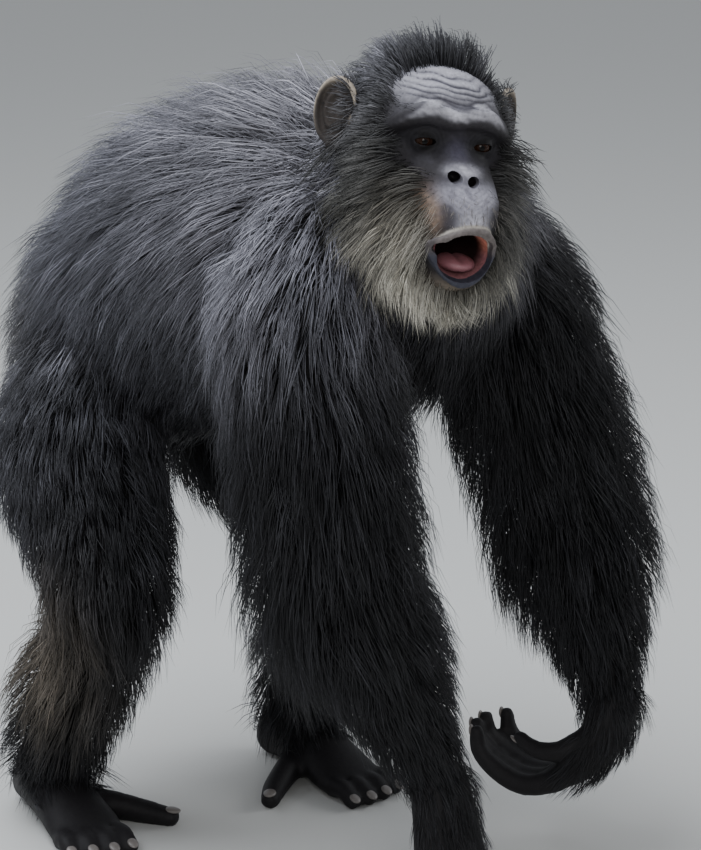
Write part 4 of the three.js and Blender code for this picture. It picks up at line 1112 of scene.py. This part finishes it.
def root_density(points):
    nearby = np.linalg.norm(points - np.array(HEAD_PLACE), axis=1) < 0.26
    density = np.ones(len(points))
    own, close = local_to_head(points[nearby]), points[nearby]
    body_far = np.min([body_lengths[name].locate(close)[2] for name in ("trunk", "neck")], axis=0)
    density[nearby] += head_shares(close, body_far) * 1.4
    stubbly = spot(own, *STUBBLE) + 0.4 * (np.abs(own[:, 1]) > 0.085)
    density[nearby] *= 1 - bare_share(own) * (1 - 0.35 * np.clip(stubbly, 0, 1))
    in_hollow = np.min([hollow.locate(close)[2] for hollow in (mouth_hollow,)], axis=0) < 1.32
    density[nearby] *= ~in_hollow
    return density


places, normals = sown(LOCK_COUNT, root_density)
part, t, turn, far, lie, stand = body_fields(places)
own = local_to_head(places)
head_lie, head_stand, head_long = head_fields(own)
head_share = head_shares(places, far)
on_head = head_share > 0.5
long = 1.55 * stand + 0.020
lie = unit(lie * (1 - head_share)[:, None] + head_lie * head_share[:, None])
stubble = bare_share(own) * head_share
stand = stand * (1 - head_share) + head_stand * head_share
long = long * (1 - head_share) + head_long * head_share
stand, long = stand * (1 - stubble) + 0.0016 * stubble, long * (1 - stubble) + 0.0065 * stubble
fine = np.isin(np.array(BODY_NAMES)[part], FINE_BODY) & ~on_head
on_hand = np.char.startswith(np.array(BODY_NAMES)[part], "hand")
hairy = np.where(on_hand, (normals[:, 1] < 0.2) & (t < 0.75) & (far < 1.25), (normals[:, 2] > 0.1) & (t < 0.5) & (far < 1.2))
keep = np.where(fine, hairy, on_head | (far < 1.6))
places, normals, lie, stand, long, part, t, turn, own, on_head, fine, stubble = (
    values[keep]
    for values in (places, normals, lie, stand, long, part, t, turn, own, on_head, fine, stubble)
)
count = len(places)
lie = unit(lie - normals * (lie * normals).sum(1)[:, None])

leaders = coat_draw.permutation(count)[: count // CLUMP_SIZE]
tree = KDTree(len(leaders))
for i, leader in enumerate(leaders):
    tree.insert(places[leader], i)
tree.balance()
clump_of = leaders[[tree.find(place)[1] for place in places]]

vary = coat_draw.normal(0, 1, (count, 5))
clump_vary = coat_draw.normal(0, 1, (count, 5))[clump_of]
aside = np.cross(normals, lie)
lean = np.radians(8 * clump_vary[:, 0] + 6 * vary[:, 0])[:, None]
lie = lie * np.cos(lean) + aside * np.sin(lean)
stand = stand * np.clip(0.92 + 0.12 * clump_vary[:, 1] + 0.16 * vary[:, 1], 0.3, 1.2)
long = np.maximum(long * np.clip(1 + 0.12 * clump_vary[:, 2] + 0.14 * vary[:, 2], 0.5, 1.5), stand * 1.1)
flyaway = coat_draw.random(count) < 0.14
stand = np.where(flyaway, np.minimum(stand * 1.4, stand + 0.012), stand)
long = np.maximum(long, stand * 1.1)
run = np.sqrt(long**2 - stand**2)
s = LOCK_SHARES[None, :, None]
paths = (
    places[:, None]
    + normals[:, None] * (stand[:, None, None] * np.sin(s * pi / 2) ** 0.9)
    + lie[:, None] * (run[:, None, None] * s**1.25)
    + np.array([0, 0, -1]) * (0.14 * long[:, None, None] * s**2)
)
GATHER = 0.50
gathered = paths[clump_of] + (places - places[clump_of])[:, None] * 0.22
paths = paths + (gathered - paths) * (GATHER * s**1.5)
paths += coat_draw.normal(0, 0.045, (count, 1, 3)) * long[:, None, None] * s**2
paths += coat_draw.normal(0, 0.016, (count, 4, 3)) * long[:, None, None] * s
LEFT_LIMIT = 0.3165  # no tip passes this plane: locks that would are drawn in towards their roots
reach = np.maximum(paths[..., 0].max(axis=1) - places[:, 0], 1e-6)
drawn_in = np.clip((LEFT_LIMIT - places[:, 0]) / reach, 0.2, 1)
paths = paths[:, :1] + (paths - paths[:, :1]) * drawn_in[:, None, None]
paths[:, 0] -= normals * (0.004 - 0.003 * stubble)[:, None]
paths[..., 2] = np.maximum(paths[..., 2], 0.0015)

width = np.where(on_head, 0.0009 - 0.0005 * stubble, np.where(fine, 0.0008, 0.0012)) * (1 + 0.2 * vary[:, 3])
width = np.where(flyaway, 0.7, 1) * width
tangents = unit(paths[:, 1:] - paths[:, :-1])
sides = unit(np.cross(tangents, normals[:, None]))
ridges = np.cross(sides, tangents)
half = (width[:, None] * LOCK_WIDTHS / 2)[..., None]
rings = np.stack(
    [paths[:, :3] - sides * half, paths[:, :3] + sides * half, paths[:, :3] + ridges * half * 1.1],
    axis=2,
)
lock_corners = np.concatenate([rings.reshape(count, 9, 3), paths[:, 3:]], axis=1)
lock_faces = [(0, 1, 2)]
for ring in (0, 3):
    for k in range(3):
        a, b = ring + k, ring + (k + 1) % 3
        lock_faces += [(a, a + 3, b), (b, a + 3, b + 3)]
lock_faces += [(6, 9, 7), (7, 9, 8), (8, 9, 6)]
lock_faces = np.array(lock_faces)

x, y, z = places.T / 0.021
patches = np.sin(x + 1.7 * np.sin(z * 0.8)) * np.sin(0.9 * z + 1.3 * np.sin(y)) + 0.6 * np.sin(2.1 * y + x)
tone = np.exp(0.16 * patches + 0.30 * clump_vary[:, 4] + 0.28 * vary[:, 4])[:, None, None]
ring_tone = np.repeat([0.55, 0.9, 1.15, 1.3], (3, 3, 3, 1))[None, :, None]
hair_colours = coat_colours(places, own, on_head)
hair_colours += (np.array((0.30, 0.27, 0.24)) - hair_colours) * (stubble * spot(own, *STUBBLE))[:, None]
colours = hair_colours[:, None] * tone * ring_tone

coat_finish, shader, nodes, links = finish_of("coat_hair", COAT_BLACK, 0.55)
shader.inputs["Specular IOR Level"].default_value = 0.35
tint = nodes.new("ShaderNodeAttribute")
tint.attribute_name = "tint"
links.new(tint.outputs["Color"], shader.inputs["Base Color"])
PATCH = 0.003  # how far across a lock's patch of the unwrap is
patch = np.zeros((10, 2))
patch[:9, 0] = np.tile([-0.5, 0.5, 0.0], 3)
patch[:, 1] = np.repeat([0, 0.36, 0.72, 1.0], (3, 3, 3, 1)) - 0.5

part_names = np.array(BODY_NAMES)[part]
region = np.where(np.isin(part_names, ("trunk",)), np.where(t > 0.5, "chest", "rump"), "none")
region = np.where(region != "none", np.char.add(region, np.where(places[:, 0] < 0, "_right", "_left")), region)
for side in ("right", "left"):
    region = np.where(np.isin(part_names, (f"arm_{side}", f"hand_{side}")), f"arm_{side}", region)
    legs = (f"thigh_{side}", f"shin_{side}", f"foot_{side}")
    region = np.where(np.isin(part_names, legs), f"leg_{side}", region)
region = np.where(part_names == "neck", "neck", region)
region = np.where(on_head, "head", region)

coat_pieces = []
for name in sorted(set(region)):
    chosen = np.flatnonzero(region == name)
    mesh = bpy.data.meshes.new(f"coat_{name}")
    corners, faces = lock_corners[chosen].reshape(-1, 3), lock_faces[None] + 10 * np.arange(len(chosen))[:, None, None]
    faces = faces.reshape(-1, 3)
    mesh.vertices.add(len(corners))
    mesh.vertices.foreach_set("co", corners.ravel())
    mesh.loops.add(faces.size)
    mesh.loops.foreach_set("vertex_index", faces.ravel())
    mesh.polygons.add(len(faces))
    mesh.polygons.foreach_set("loop_start", np.arange(0, faces.size, 3))
    mesh.polygons.foreach_set("loop_total", np.full(len(faces), 3))
    mesh.polygons.foreach_set("use_smooth", np.ones(len(faces), bool))
    mesh.update(calc_edges=True)
    tints = mesh.attributes.new("tint", "FLOAT_COLOR", "POINT")
    rgba = np.ones((len(corners), 4))
    rgba[:, :3] = colours[chosen].reshape(-1, 3)
    tints.data.foreach_set("color", rgba.ravel())
    if name == "head":
        around, up = np.arctan2(own[chosen, 1], own[chosen, 0]), np.arctan2(own[chosen, 2], np.hypot(own[chosen, 0], own[chosen, 1]))
        unwrapped = np.stack([around / (2 * pi) + 0.5, up / pi + 0.5], axis=1)
    else:
        low_half = np.char.startswith(part_names[chosen], "shin") | fine[chosen]
        unwrapped = np.stack([turn[chosen] / (2 * pi) + 0.5, (t[chosen] + ~low_half) / 2], axis=1)
    spots = unwrapped[:, None] * 0.98 + 0.01 + patch * PATCH
    unwrap = mesh.uv_layers.new(name="OFBake")
    unwrap.data.foreach_set("uv", spots.reshape(-1, 2)[faces.ravel()].ravel())
    mesh.materials.append(coat_finish)
    piece = bpy.data.objects.new(f"coat_{name}", mesh)
    bpy.context.scene.collection.objects.link(piece)
    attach(piece, "root")
    coat_pieces.append(piece)
    print(name, len(chosen), "locks", len(faces), "triangles")
print("coat triangles", 16 * count)
